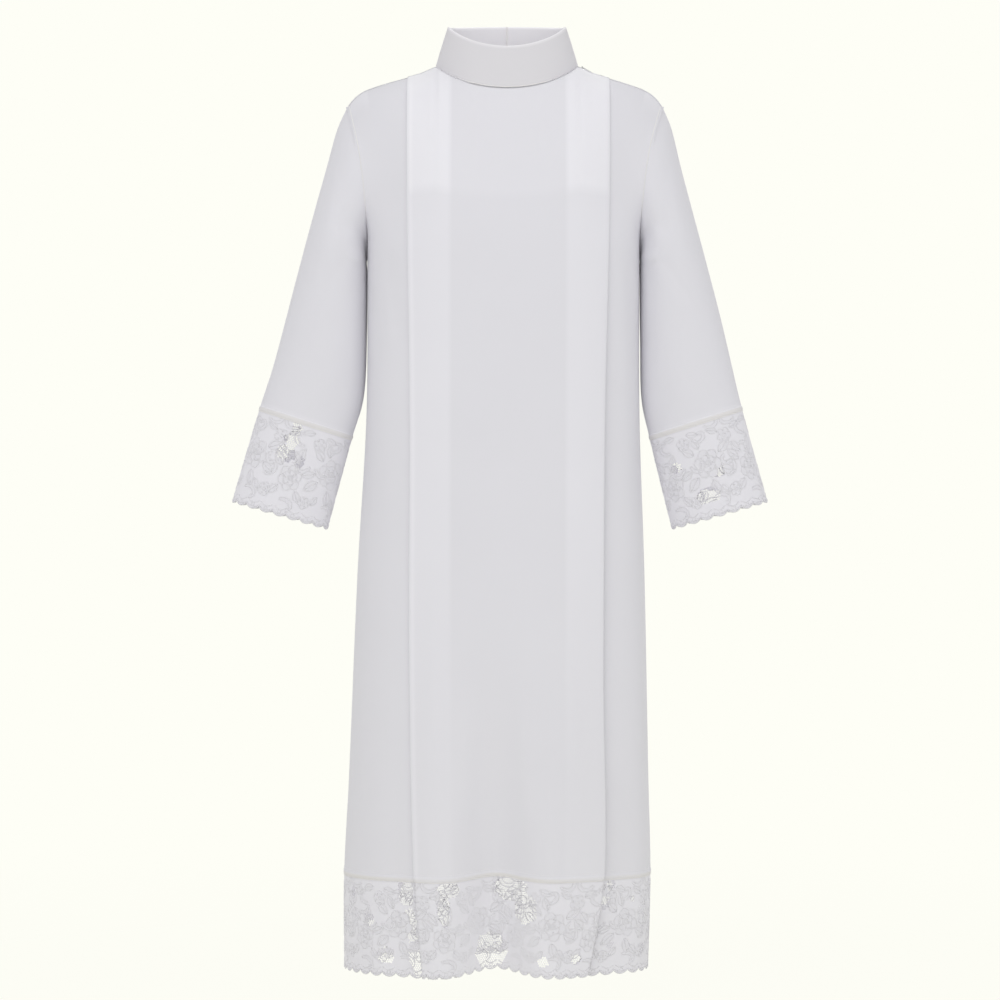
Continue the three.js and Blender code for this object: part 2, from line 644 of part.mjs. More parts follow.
const zipEnd = new THREE.Group();
const drop = shoulderZ(SLIDER.x - SLIDER.far) - shoulderZ(SLIDER.x + SLIDER.far);
const slope = Math.atan(drop / (2 * SLIDER.far));
zipEnd.position.set(SLIDER.x, 0, shoulderZ(SLIDER.x));
zipEnd.rotation.y = slope;
alb.add(zipEnd);

function addToZip(name, solid) {
  const mesh = add(name, geometryOf(solid), METAL_COLOUR, 0.35, 0.8);
  zipEnd.add(mesh);
  return mesh;
}

const lug = block(LUG.back - LUG.reach, LUG.back + LUG.reach, LUG.half, SLIDER.top - 1, LUG.top);
const slider = block(SLIDER.near, SLIDER.far, SLIDER.half, SLIDER.bottom, SLIDER.top)
  .add(lug)
  .add(roundBar(PIN.radius, PIN.half, LUG.back, PIN.height));
addToZip("zip_slider", slider);

const fork = roundBar(PULL.eye, PULL.half, 0, 0).add(
  block(0, PULL.neck + 0.5, PULL.half, -PULL.plate / 2, PULL.plate / 2),
);
const round = new THREE.CylinderGeometry(PULL.half, PULL.half, PULL.plate, 16).rotateX(Math.PI / 2);
const pull = fork
  .subtract(block(-PULL.eye - 1, PULL.neck, LUG.half + 0.3, -PULL.eye - 1, PULL.eye + 1))
  .subtract(roundBar(PULL.bore, PULL.half + 1, 0, 0))
  .add(block(PULL.neck, PULL.length - PULL.half, PULL.half, -PULL.plate / 2, PULL.plate / 2))
  .add(solidOf(round.translate(PULL.length - PULL.half, 0, 0)))
  .subtract(block(PULL_SLOT.from, PULL_SLOT.to, PULL_SLOT.half, -PULL.plate, PULL.plate));
const pullMesh = addToZip("zip_pull", pull);
pullMesh.position.set(LUG.back, 0, PIN.height);
pullMesh.rotation.y = (PULL.lie * Math.PI) / 180;

export default alb;
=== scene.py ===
"""The looks of an alb: white cloth, lace at hem and cuffs, a stand collar and a shoulder zip.

Sizes are in millimetres and turn to metres when a mesh is made. The front faces -Y, +X is the
wearer's left, and a level is the distance down from the collar's foot.
"""
import logging
import math
from contextlib import contextmanager
from dataclasses import dataclass, field
from enum import Enum
from typing import Iterable, Iterator, Sequence

import bmesh
import bpy
import numpy as np
from mathutils import Matrix, Vector


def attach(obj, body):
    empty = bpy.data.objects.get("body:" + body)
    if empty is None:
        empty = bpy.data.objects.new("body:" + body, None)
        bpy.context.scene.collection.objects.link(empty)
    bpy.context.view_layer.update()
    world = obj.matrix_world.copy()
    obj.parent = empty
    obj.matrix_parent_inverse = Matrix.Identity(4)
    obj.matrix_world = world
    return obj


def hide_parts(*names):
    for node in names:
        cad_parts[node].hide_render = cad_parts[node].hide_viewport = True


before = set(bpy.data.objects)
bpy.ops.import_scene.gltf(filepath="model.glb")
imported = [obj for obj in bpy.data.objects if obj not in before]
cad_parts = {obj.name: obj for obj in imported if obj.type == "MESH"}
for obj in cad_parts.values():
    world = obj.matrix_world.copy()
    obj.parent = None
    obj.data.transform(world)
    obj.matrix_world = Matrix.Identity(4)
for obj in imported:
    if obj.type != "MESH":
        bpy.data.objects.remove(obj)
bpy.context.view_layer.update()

LOG = logging.getLogger("alb")
MM = 0.001
GARMENT = "garment"
PULL_TAB = "pull_tab"
UV_NAME = "cloth"
Array = np.ndarray
Piece = bpy.types.Object
Socket = bpy.types.NodeSocket
Material = bpy.types.Material


class Hand(Enum):
    """The wearer's side."""

    LEFT = 1
    RIGHT = -1


class Face(Enum):
    """The front or the back of the body."""

    FRONT = "front"
    BACK = "back"


class Slot(Enum):
    """The record's material slots."""

    CLOTH = "robe_cloth"
    LACE = "lace"
    TAPE = "zip_tape"
    TEETH = "zip_teeth"
    METAL = "zip_metal"


def mix(a: Array | float, b: Array | float, f: Array | float) -> Array | float:
    """The value a share f of the way from a to b."""
    return a + (b - a) * f


def smooth(low: float, high: float, value: Array | float) -> Array | float:
    """0 below low, 1 above high, and a soft step between them."""
    f = np.clip((value - low) / (high - low), 0.0, 1.0)
    return f * f * (3 - 2 * f)


def unit(vectors: Array) -> Array:
    """The vectors at length 1."""
    return vectors / np.maximum(np.linalg.norm(vectors, axis=-1, keepdims=True), 1e-9)


def matched(*values: Array | float) -> Sequence[Array]:
    """The values as arrays of one shape."""
    return np.broadcast_arrays(*(np.asarray(value, float) for value in values))


def running(steps: Array) -> Array:
    """The sum of the steps up to each place, from 0."""
    return np.concatenate([[0.0], np.cumsum(steps)])


def runs(line: Array, inside: Array) -> list[Array]:
    """The stretches of a line whose points are inside, of two points or more.

    Args:
        line: the line's points.
        inside: whether each point is inside.

    Returns:
        The points of each stretch.
    """
    edges = np.flatnonzero(np.diff(inside.astype(int))) + 1
    parts = zip(np.split(line, edges), np.split(inside, edges))
    return [part for part, keep in parts if keep[0] and len(part) > 1]


@dataclass(frozen=True)
class Table:
    """A short table of sizes. Its first column is the key, and a smooth curve joins its rows."""

    names: tuple[str, ...]
    rows: tuple[tuple[float, ...], ...]

    def at(self, name: str, key: Array | float) -> Array:
        """A column's value between the rows.

        Args:
            name: the column.
            key: where to read it, as values of the first column.

        Returns:
            The values at those keys.
        """
        keys = np.array([row[0] for row in self.rows], float)
        column = np.array([row[self.names.index(name)] for row in self.rows], float)
        before = np.maximum(np.arange(len(keys)) - 1, 0)
        after = np.minimum(np.arange(len(keys)) + 1, len(keys) - 1)
        slope = (column[after] - column[before]) / (keys[after] - keys[before])
        place = np.clip(np.asarray(key, float), keys[0], keys[-1])
        i = np.clip(np.searchsorted(keys, place) - 1, 0, len(keys) - 2)
        step = keys[i + 1] - keys[i]
        f = (place - keys[i]) / step
        f2, f3 = f * f, f * f * f
        return (
            (2 * f3 - 3 * f2 + 1) * column[i]
            + (f3 - 2 * f2 + f) * step * slope[i]
            + (3 * f2 - 2 * f3) * column[i + 1]
            + (f3 - f2) * step * slope[i + 1]
        )

    def row_at(self, key: Array | float) -> list[Array]:
        """The values of all columns after the first one."""
        return [self.at(name, key) for name in self.names[1:]]


@dataclass(frozen=True)
class Fold:
    """A soft vertical fold of the skirt that grows towards the hem."""

    x: float
    width: float
    out: float
    start: float
    rise: float = 0.0


@dataclass(frozen=True)
class Crease:
    """A soft trough or ridge between two places of the cloth, in its own two directions."""

    start: tuple[float, float]
    end: tuple[float, float]
    width: float
    height: float

    def lift(self, a: Array, b: Array) -> Array:
        """How far the crease lifts the cloth at the places (a, b).

        Args:
            a: places in the cloth's first direction.
            b: places in its second one.

        Returns:
            The lift in millimetres.
        """
        (a0, b0), (a1, b1) = self.start, self.end
        run_a, run_b = a1 - a0, b1 - b0
        f = np.clip(((a - a0) * run_a + (b - b0) * run_b) / (run_a**2 + run_b**2), 0, 1)
        away = (a - a0 - f * run_a) ** 2 + (b - b0 - f * run_b) ** 2
        taper = np.sin(math.pi * f) ** 0.7
        return self.height * np.exp(-away / self.width**2) * taper


@dataclass(frozen=True)
class RobeForm:
    """The form of the body of the robe: its sections, pleats and folds."""

    armpit: float = 280.0
    lace: float = 1200.0
    hem: float = 1340.0
    facing: float = 190.0
    shoulder_tip: float = -50.0
    armhole_out: float = 60.0
    seam_gap: float = 0.5
    pitch: float = 1.6
    neck_x: float = 4.5
    foot_half: float = 105.0
    zip_gap: float = 3.6
    zip_start: float = 108.0
    zip_end: float = 208.0
    neckline: tuple[float, float] = (1.4, 2.65)
    shoulder_drop: float = 38.0
    shoulder_dip: float = 3.0
    foot: dict[str, float] = field(default_factory=lambda: dict(
        half=105, front=76, back=70, side_z=9.35, front_z=-30, back_z=20))
    rim: dict[str, float] = field(default_factory=lambda: dict(
        half=87, front=61, back=60, side_z=67.5, front_z=31, back_z=76))
    sections: Table = Table(
        ("level", "middle", "half", "front", "back"),
        (
            (0, 1.5, 234, 128, 122),
            (118, 0, 213, 128, 124),
            (227, -0.5, 203.5, 128, 122),
            (280, -0.8, 203.5, 128, 122),
            (510, -1.5, 204, 130, 126),
            (750, -4.5, 214.5, 133, 131),
            (1060, -8, 224, 137, 138),
            (1200, -10, 229, 139, 141),
            (1350, -12, 227, 140, 143),
        ),
    )
    pleats: Table = Table(
        ("level", "fold_a", "root_a", "root_b", "fold_b", "open_b"),
        (
            (0, -143, -79, 92, 156, 0),
            (200, -142, -79, 92, 155, 0),
            (500, -138, -79, 91, 148, 4),
            (900, -138, -78, 90, 145, 5),
            (1200, -131, -75, 88, 146, 5),
            (1350, -118, -66, 74, 121, 6),
        ),
    )
    front_folds: tuple[Fold, ...] = tuple(Fold(*row) for row in (
        (-98, 42, 17, 780), (-12, 44, -46, 760, 9), (66, 40, 15, 800), (178, 30, -9, 700),
        (-186, 26, 6, 900),
    ))
    back_folds: tuple[Fold, ...] = tuple(Fold(*row) for row in (
        (-128, 38, 18, 620), (-52, 40, -22, 560), (24, 36, 20, 660), (98, 42, -17, 520),
        (166, 30, 9, 760),
    ))
    front_creases: tuple[Crease, ...] = tuple(Crease(*row) for row in (
        ((184, 252), (200, 470), 8, -2.2), ((170, 300), (190, 640), 12, 1.6),
        ((-178, 262), (-150, 420), 12, -1.6), ((-170, 330), (-180, 700), 16, 1.2),
        ((-60, 70), (-30, 170), 18, -0.8), ((58, 60), (34, 180), 20, -0.8),
        ((-34, 900), (-40, 1180), 12, -2.0), ((22, 860), (30, 1170), 14, 1.8),
        ((96, 780), (104, 1150), 12, 1.2), ((-100, 700), (-108, 1100), 14, 1.4),
        ((-4, 300), (6, 760), 26, -1.4),
    ))
    back_creases: tuple[Crease, ...] = tuple(Crease(*row) for row in (
        ((180, 262), (150, 440), 12, -1.8), ((-182, 258), (-156, 400), 10, -1.6),
        ((-120, 150), (-60, 300), 22, -1.5), ((118, 140), (70, 320), 24, -1.7),
        ((0, 90), (-8, 420), 30, 1.3), ((-90, 520), (-100, 900), 18, 1.6),
        ((52, 600), (60, 1120), 16, -2.0), ((130, 500), (138, 1000), 18, 1.5),
        ((-150, 760), (-160, 1180), 14, -1.6), ((-14, 820), (-24, 1180), 13, 1.7),
    ))

    def width(self, level: Array | float) -> tuple[Array, Array]:
        """The middle of the body and half its width."""
        return self.sections.at("middle", level), self.sections.at("half", level)

    def across(self, x: Array, level: Array) -> Array:
        """How far x is from the middle, as a share of half the width."""
        middle, half = self.width(level)
        return np.clip(np.abs(x - middle) / half, 0, 1)

    def ring(self, ring: dict[str, float], angle: Array) -> Array:
        """Points of the collar's foot or rim.

        Args:
            ring: the sizes of the foot or the rim.
            angle: 0 at the front, and 90 degrees at the wearer's left.

        Returns:
            The points.
        """
        c = np.cos(angle)
        depth = np.where(c > 0, ring["front"], ring["back"])
        far = np.where(c > 0, ring["front_z"], ring["back_z"])
        x = self.neck_x + ring["half"] * np.sin(angle)
        return np.stack([x, -depth * c, mix(ring["side_z"], far, np.abs(c) ** 1.5)], -1)

    def shoulder_z(self, x: Array) -> Array:
        """Height of the shoulder seam over x.

        Args:
            x: across the body.

        Returns:
            The height.
        """
        hand = np.where(x < self.neck_x, -1, 1)
        corner = self.neck_x + hand * self.foot_half
        middle, half = self.width(0)
        tip = middle + hand * half
        r = np.clip((x - corner) / (tip - corner), 0, 1)
        start = self.foot["side_z"] - self.neckline[1]
        dip = smooth(0, 0.2, r) * (1 - smooth(0.65, 1, r))
        rest = self.shoulder_tip - start + self.shoulder_drop
        return start - self.shoulder_drop * r - self.shoulder_dip * dip + rest * r**8

    def top_edge(self, face: Face, x: Array) -> tuple[Array, Array]:
        """The sewn top edge: how far out from the middle it is, and its height.

        Args:
            face: the front or the back.
            x: across the body.

        Returns:
            How far out, and the height.
        """
        across = (x - self.neck_x) / self.foot_half
        zipped = smooth(self.zip_start, self.zip_start + 1, x)
        zipped = zipped * (1 - smooth(self.zip_end, self.zip_end + 5, x))
        slit = self.zip_gap * zipped
        turn = np.arcsin(np.clip(across, -1, 1))
        ring = self.ring(self.foot, turn if face is Face.FRONT else math.pi - turn)
        at_neck = np.abs(across) < 1
        sewn = slit + 0.3 * smooth(200, 234, np.abs(x))
        out = np.where(at_neck, np.maximum(slit, np.abs(ring[..., 1])), sewn)
        neckline = ring[..., 2] - mix(*self.neckline, across**4)
        return out, np.where(at_neck, neckline, self.shoulder_z(x))

    def folds(self, face: Face, x: Array, level: Array) -> tuple[Array, Array]:
        """How far the soft folds move the skirt out and up at these places.

        Args:
            face: the front or the back.
            x: across the body.
            level: down the body.

        Returns:
            How far out, and how far up.
        """
        across = self.across(x, level)
        out = np.zeros(np.broadcast(x, level).shape)
        rise = np.zeros_like(out)
        for fold in self.front_folds if face is Face.FRONT else self.back_folds:
            near = np.exp(-(((x - fold.x) / fold.width) ** 2))
            grown = near * smooth(fold.start, self.hem + 60, level) ** 1.2
            out += fold.out * grown
            rise += fold.rise * grown
        return out * (1 - across**6), rise * (1 - across**6)

    def creases(self, face: Face, x: Array, level: Array) -> Array:
        """How far the listed creases and the cloth's slight unevenness lift it.

        Args:
            face: the front or the back.
            x: across the body.
            level: down the body.

        Returns:
            The lift.
        """
        lift = 0.35 * np.sin(x / 31 + level / 170) * np.sin(level / 97 - x / 140)
        for crease in self.front_creases if face is Face.FRONT else self.back_creases:
            lift = lift + crease.lift(x, level)
        return lift * (1 - self.across(x, level) ** 8) * smooth(8, 60, level)

    def point(self, face: Face, x: Array, level: Array, offset: Array | float) -> Array:
        """Points of the front or back, moved out by an offset.

        Args:
            face: the front or the back.
            x: across the body.
            level: down the body.
            offset: how far outside the cloth's own surface.

        Returns:
            The points, in millimetres.
        """
        x, level, offset = matched(x, level, offset)
        v = np.clip(level / self.armpit, 0, 1)
        middle, half = self.width(level)
        across = self.across(x, level)
        turn = smooth(0.6, 1, v)
        power, rounding = mix(3, 2.4, turn), mix(1, 1 / 2.4, turn)
        depth = self.sections.at(face.value, level)
        full = np.maximum(1 - across**power, 0)
        edge_out = self.armhole_out * np.sin(math.pi * v) ** mix(0.6, 1.4, smooth(0.5, 1, v))
        section_out = depth * full**rounding + edge_out * across**6
        top_out, top_z = self.top_edge(face, x)
        shoulder = smooth(40, 115, np.abs(x - self.neck_x))
        crown = mix(2.6, 4, smooth(0.5, 1, across))
        over_shoulder = (1 - (1 - v) ** crown) ** (1 / crown)
        ease = mix(1 - (1 - v) ** 2, over_shoulder, shoulder)
        fold_out, rise = self.folds(face, x, level)
        z = np.where(v < 1, mix(top_z, -self.armpit, v), -level) + rise
        out = mix(top_out, section_out, ease) + fold_out + self.seam_gap / 2
        zero = np.zeros_like(x)
        lift = unit(np.stack([zero, mix(0.93, 0.03, shoulder), mix(0.37, 1, shoulder)], -1))
        side = across**1.4 / half * np.sign(x - middle)
        section = unit(np.stack([side, full**0.5833 / depth + 1e-6, zero], -1))
        away = unit(lift + (section - lift) * ease[..., None])
        points = np.stack([x, out, z], -1) + away * offset[..., None]
        if face is Face.FRONT:
            points[..., 1] *= -1
        return points


FORM = RobeForm()


class FrontPanel:
    """The front's cloth, from the right side seam to the left one, through its two pleats.

    Its first direction counts zones: side, under, root turn, middle, fold turn and top of the
    right pleat, the centre, and the same back again for the left pleat.
    """

    ZONES = 13
    SHOWN = (0, 5, 6, 7, 12)

    def line(self, q: Array, level: Array) -> tuple[Array, Array]:
        """Where the cloth runs: x and the layer's offset, for zone places and levels.

        Args:
            q: places through the zones.
            level: down the body.

        Returns:
            Where it is across the body, and how far out.
        """
        q, level = matched(q, level)
        zone = np.clip(np.floor(q + 1e-9), 0, self.ZONES - 1)
        f = np.clip(q - zone, 0, 1)
        fold_a, root_a, root_b, fold_b, open_b = FORM.pleats.row_at(level)
        middle, half = FORM.width(level)
        pitch = FORM.pitch
        turn = np.sin(math.pi * f) * pitch / 2
        rise = (1 - np.cos(math.pi * f)) / 2 * pitch
        full = np.ones_like(f)
        places = [
            (mix(middle - half, fold_a, 1 - np.cos(f * math.pi / 2)),
             -2 * pitch * (1 - smooth(0, 0.62, 1 - f))),
            (mix(fold_a, root_a, f), -2 * pitch * full),
            (root_a + turn, -2 * pitch + rise),
            (mix(root_a, fold_a, f), -pitch * full),
            (fold_a - turn, -pitch + rise),
            (mix(fold_a, root_a, f), 0 * full),
            (mix(root_a, root_b, f), 0 * full),
            (mix(root_b, fold_b, f), 0 * full),
            (fold_b + turn, -rise),
            (mix(fold_b, root_b, f), -pitch * full),
            (root_b - turn, -pitch - rise),
            (mix(root_b, fold_b, f), -2 * pitch - open_b * smooth(0, 1, f)),
            (mix(fold_b, middle + half, np.sin(f * math.pi / 2)),
             -(2 * pitch + open_b) * (1 - smooth(0, 0.62, f))),
        ]
        masks = [zone == i for i in range(self.ZONES)]
        x, layer = (np.select(masks, [place[i] for place in places]) for i in range(2))
        return x, layer

    def at(self, q: Array, level: Array, offset: Array | float = 0.0) -> Array:
        """Points of the cloth at zone places and levels, moved out by an offset.

        Args:
            q: places through the zones.
            level: down the body.
            offset: how far outside the cloth's own surface.

        Returns:
            The points.
        """
        x, layer = self.line(q, level)
        layer = layer * mix(0.4, 1.0, smooth(0, 40, level))
        lift = FORM.creases(Face.FRONT, x, level)
        return FORM.point(Face.FRONT, x, level, layer + lift + offset)

    def shown(self, q: Array) -> Array:
        """Whether each zone place is on an outer layer."""
        return np.isin(np.clip(np.floor(q), 0, self.ZONES - 1), self.SHOWN)


class BackPanel:
    """The back's cloth, from the left side seam at 0 to the right one at 1."""

    def at(self, f: Array, level: Array, offset: Array | float = 0.0) -> Array:
        """Points of the cloth at shares of its width and levels, moved out by an offset.

        Args:
            f: shares of the back's width.
            level: down the body.
            offset: how far outside the cloth's own surface.

        Returns:
            The points.
        """
        f, level = matched(f, level)
        middle, half = FORM.width(level)
        x = middle + half * np.cos(f * math.pi)
        return FORM.point(Face.BACK, x, level, FORM.creases(Face.BACK, x, level) + offset)

    def shown(self, f: Array) -> Array:
        """Every place of the back is on its outer layer."""
        return np.ones(np.shape(f), bool)


@dataclass(frozen=True)
class SleeveForm:
    """A sleeve and its lace cuff: rings from the armhole at 0 to the cuff's edge at 8."""

    hand: Hand
    gaps: tuple[float, float] = (0.6, 0.7)
    cuff_row: float = 7.0
    rings: Table = Table(
        ("row", "out_x", "out_z", "in_x", "in_z", "depth", "y"),
        (
            (0, 234, -50, 203.5, -280, 58, 0),
            (1, 249.5, -87, 204.4, -285, 60, 0),
            (2, 265.6, -147, 204.2, -291, 61, 0),
            (3, 281.7, -207, 203.9, -299, 61, 0),
            (4, 297.5, -265, 203.9, -312, 59, -1),
            (5, 320.5, -355, 204.4, -397, 54, -3),
            (6, 343.3, -445, 207.5, -487, 49, -5),
            (7, 360.8, -508, 223, -552, 45, -7),
            (8, 400.5, -646, 258, -687, 41, -10),
        ),
    )
    creases: tuple[Crease, ...] = tuple(Crease(*row) for row in (
        ((0.40, 0.5), (0.22, 3.0), 0.035, -2.4), ((0.44, 1.2), (0.30, 4.4), 0.030, 1.8),
        ((0.34, 3.6), (0.14, 5.2), 0.030, -1.6), ((0.16, 1.6), (0.20, 4.2), 0.045, 1.4),
        ((0.60, 0.6), (0.80, 3.2), 0.035, -2.2), ((0.56, 1.4), (0.70, 4.8), 0.032, 1.9),
        ((0.66, 3.8), (0.86, 5.6), 0.030, -1.7), ((0.30, 5.2), (0.26, 6.8), 0.040, 1.3),
        ((0.74, 5.0), (0.72, 6.8), 0.040, 1.4),
    ))

    def armhole(self, t: Array) -> Array:
        """The armhole's edge at turns t: the shoulder tip, the front, the armpit, the back.

        Args:
            t: turns, from the shoulder tip through the front.

        Returns:
            The points.
        """
        s = np.where(t <= 0.5, 2 * t, 2 - 2 * t)
        level = FORM.armpit * (1 - np.cos(math.pi * s)) / 2
        middle, half = FORM.width(level)
        x = middle + self.hand.value * half
        front, back = (FORM.point(face, x, level, 0) for face in Face)
        return np.where((t <= 0.5)[..., None], front, back)

    def ring(self, row: Array) -> tuple[Array, Array, Array, Array]:
        """A ring's middle, half its width as a vector, the way out of its plane, and its depth.

        Args:
            row: which rings.

        Returns:
            The four of them, for each row.
        """
        out_x, out_z, in_x, in_z, depth, y = self.rings.row_at(row)
        hand = self.hand.value
        shift = 0.8 * smooth(0, 2, row) + 5.4 * smooth(5, 8, row)
        outer = np.stack([hand * out_x - shift, y, out_z], -1)
        inner = np.stack([hand * in_x - shift, y, in_z], -1)
        centre = (outer + inner) / 2
        half = outer - centre
        away = unit(np.cross(np.array([0.0, 1.0, 0.0]), half))
        return centre, half, away, depth

    def bare(self, t: Array, row: Array) -> Array:
        """Points of the sleeve without its creases.

        Args:
            t: turns, as for the armhole.
            row: rings, as for the form.

        Returns:
            The points.
        """
        t, row = matched(np.asarray(t) % 1.0, row)
        centre0, half0, away0, depth0 = self.ring(np.zeros_like(row))
        edge = self.armhole(t) - centre0
        centre, half, away, depth = self.ring(row)
        plain = smooth(0, 3.5, row)
        length = (half0**2).sum(-1)
        on_width = mix((edge * half0).sum(-1) / length, np.cos(2 * math.pi * t), plain)
        ahead = mix(-edge[..., 1] / depth0, np.sin(2 * math.pi * t), plain)
        apart = mix((edge * away0).sum(-1), 0, plain)
        points = centre + half * on_width[..., None] + away * apart[..., None]
        points[..., 1] -= ahead * depth
        points[..., 0] += self.hand.value * mix(*self.gaps, smooth(0, 1, row))
        return points

    def turn(self, f: Array) -> Array:
        """The turn t for a share f of the way round, counted so that faces point out."""
        return 1 - f if self.hand is Hand.LEFT else f

    def at(self, f: Array, row: Array, offset: Array | float = 0.0) -> Array:
        """Points of the sleeve at shares round it and rows, moved out by an offset.

        Args:
            f: shares of the way round.
            row: rings, as for the form.
            offset: how far outside the sleeve's own surface.

        Returns:
            The points.
        """
        f, row, offset = matched(f, row, offset)
        t = self.turn(f) % 1.0
        step = 0.004
        points = self.bare(self.turn(f), row)
        along = self.bare(self.turn(f), row + step) - self.bare(self.turn(f), row - step)
        around = self.bare(self.turn(f + step), row) - self.bare(self.turn(f - step), row)
        away = unit(np.cross(along, around))
        beside = np.exp(-(((t - 0.5) / 0.07) ** 2)) * smooth(6, 5, row)
        lift = offset + 0.3 * np.sin(t * 2 * math.pi * 3 + row) * np.sin(row * 2.1) * (1 - beside)
        for crease in self.creases:
            lift = lift + self.crease_lift(crease, t, row)
        return points + away * lift[..., None]

    @staticmethod
    def crease_lift(crease: Crease, t: Array, row: Array) -> Array:
        """A crease's lift, with rows brought to the scale of turns.

        Args:
            crease: the crease, in turns and rows.
            t: turns.
            row: rings.

        Returns:
            The lift.
        """
        scale = 0.25
        (t0, r0), (t1, r1) = crease.start, crease.end
        level = Crease((t0, r0 * scale), (t1, r1 * scale), crease.width, crease.height)
        return level.lift(t, row * scale) * smooth(0, 0.8, row)

    def shown(self, f: Array) -> Array:
        """Every place of a sleeve is on its outer layer."""
        return np.ones(np.shape(f), bool)


class CollarForm:
    """The stand collar, round the neck from the centre back through the wearer's right."""

    def at(self, f: Array, height: Array, offset: Array | float = 0.0) -> Array:
        """Points of the collar, from its foot at height 0 to its rim at 1.

        Args:
            f: shares of the way round.
            height: shares of its height.
            offset: how far outside its middle surface.

        Returns:
            The points.
        """
        f, height, offset = matched(f, height, offset)
        angle = (2 * f - 1) * math.pi
        foot, rim = FORM.ring(FORM.foot, angle), FORM.ring(FORM.rim, angle)
        lean = 0.28 * np.ones_like(angle)
        out = unit(np.stack([np.sin(angle) / 1.2, -np.cos(angle), lean], -1))
        return foot + (rim - foot) * height[..., None] + out * offset[..., None]


@dataclass(frozen=True)
class NetPatch:
    """A rounded part of the lace with open net between its flowers, in the band's millimetres."""

    along: float
    down: float
    half: float
    tall: float

    def holds(self, s: Array, down: Array) -> Array:
        """Whether places along and down the band lie in the patch.

        Args:
            s: millimetres along the band.
            down: millimetres down it.

        Returns:
            Yes or no for each.
        """
        across, away = (s - self.along) / self.half, (down - self.down) / self.tall
        ripple = 0.12 * np.sin(s / 3.1) + 0.12 * np.sin(down / 4.3 + 1)
        return across**2 + away**2 < 1 + ripple


class Unrolled:
    """A band of cloth laid flat: millimetres along it, and millimetres down from its top."""

    SAMPLES = 2400
    MEASURED_DOWN = 60.0
    PATCHES_DOWN = 70.0

    def __init__(
        self,
        surface: FrontPanel | BackPanel | SleeveForm,
        span: tuple[float, float],
        top: float,
        rows_per_mm: float = 1.0,
    ) -> None:
        """Measures the band along its own surface.

        Args:
            surface: the cloth's form.
            span: where the band starts and ends in the form's first direction.
            top: its top in the form's second direction.
            rows_per_mm: how much of the second direction a millimetre is.
        """
        self.surface = surface
        self.top = top
        self.rows_per_mm = rows_per_mm
        self.places = np.linspace(*span, self.SAMPLES)
        line = surface.at(self.places, top + self.MEASURED_DOWN * rows_per_mm)
        self.lengths = running(np.linalg.norm(np.diff(line, axis=0), axis=1))
        self.length = float(self.lengths[-1])

    def place(self, s: Array) -> Array:
        """The form's first direction at millimetres along the band."""
        return np.interp(s, self.lengths, self.places)

    def at(self, s: Array, down: Array, offset: Array | float = 0.0) -> Array:
        """Points of the band, moved out by an offset."""
        row = self.top + np.asarray(down) * self.rows_per_mm
        return self.surface.at(self.place(s), row, offset)

    def shown(self, s: Array) -> Array:
        """Whether the places are on an outer layer."""
        return self.surface.shown(self.place(s))

    def placed(self, patches: Sequence[tuple[float, float, float, float]]) -> tuple[NetPatch, ...]:
        """Net patches on every layer, from rows of x, down, half the width and the height.

        Args:
            patches: the rows, with x across the body.

        Returns:
            The patches, along the band.
        """
        s = np.linspace(0, self.length, self.SAMPLES)
        x = self.at(s, self.PATCHES_DOWN)[:, 0]
        found = []
        for place, down, half, tall in patches:
            crossings = np.flatnonzero(np.diff(np.sign(x - place)))
            found += [NetPatch(float(s[i]), down, half, tall) for i in crossings]
        return tuple(found)


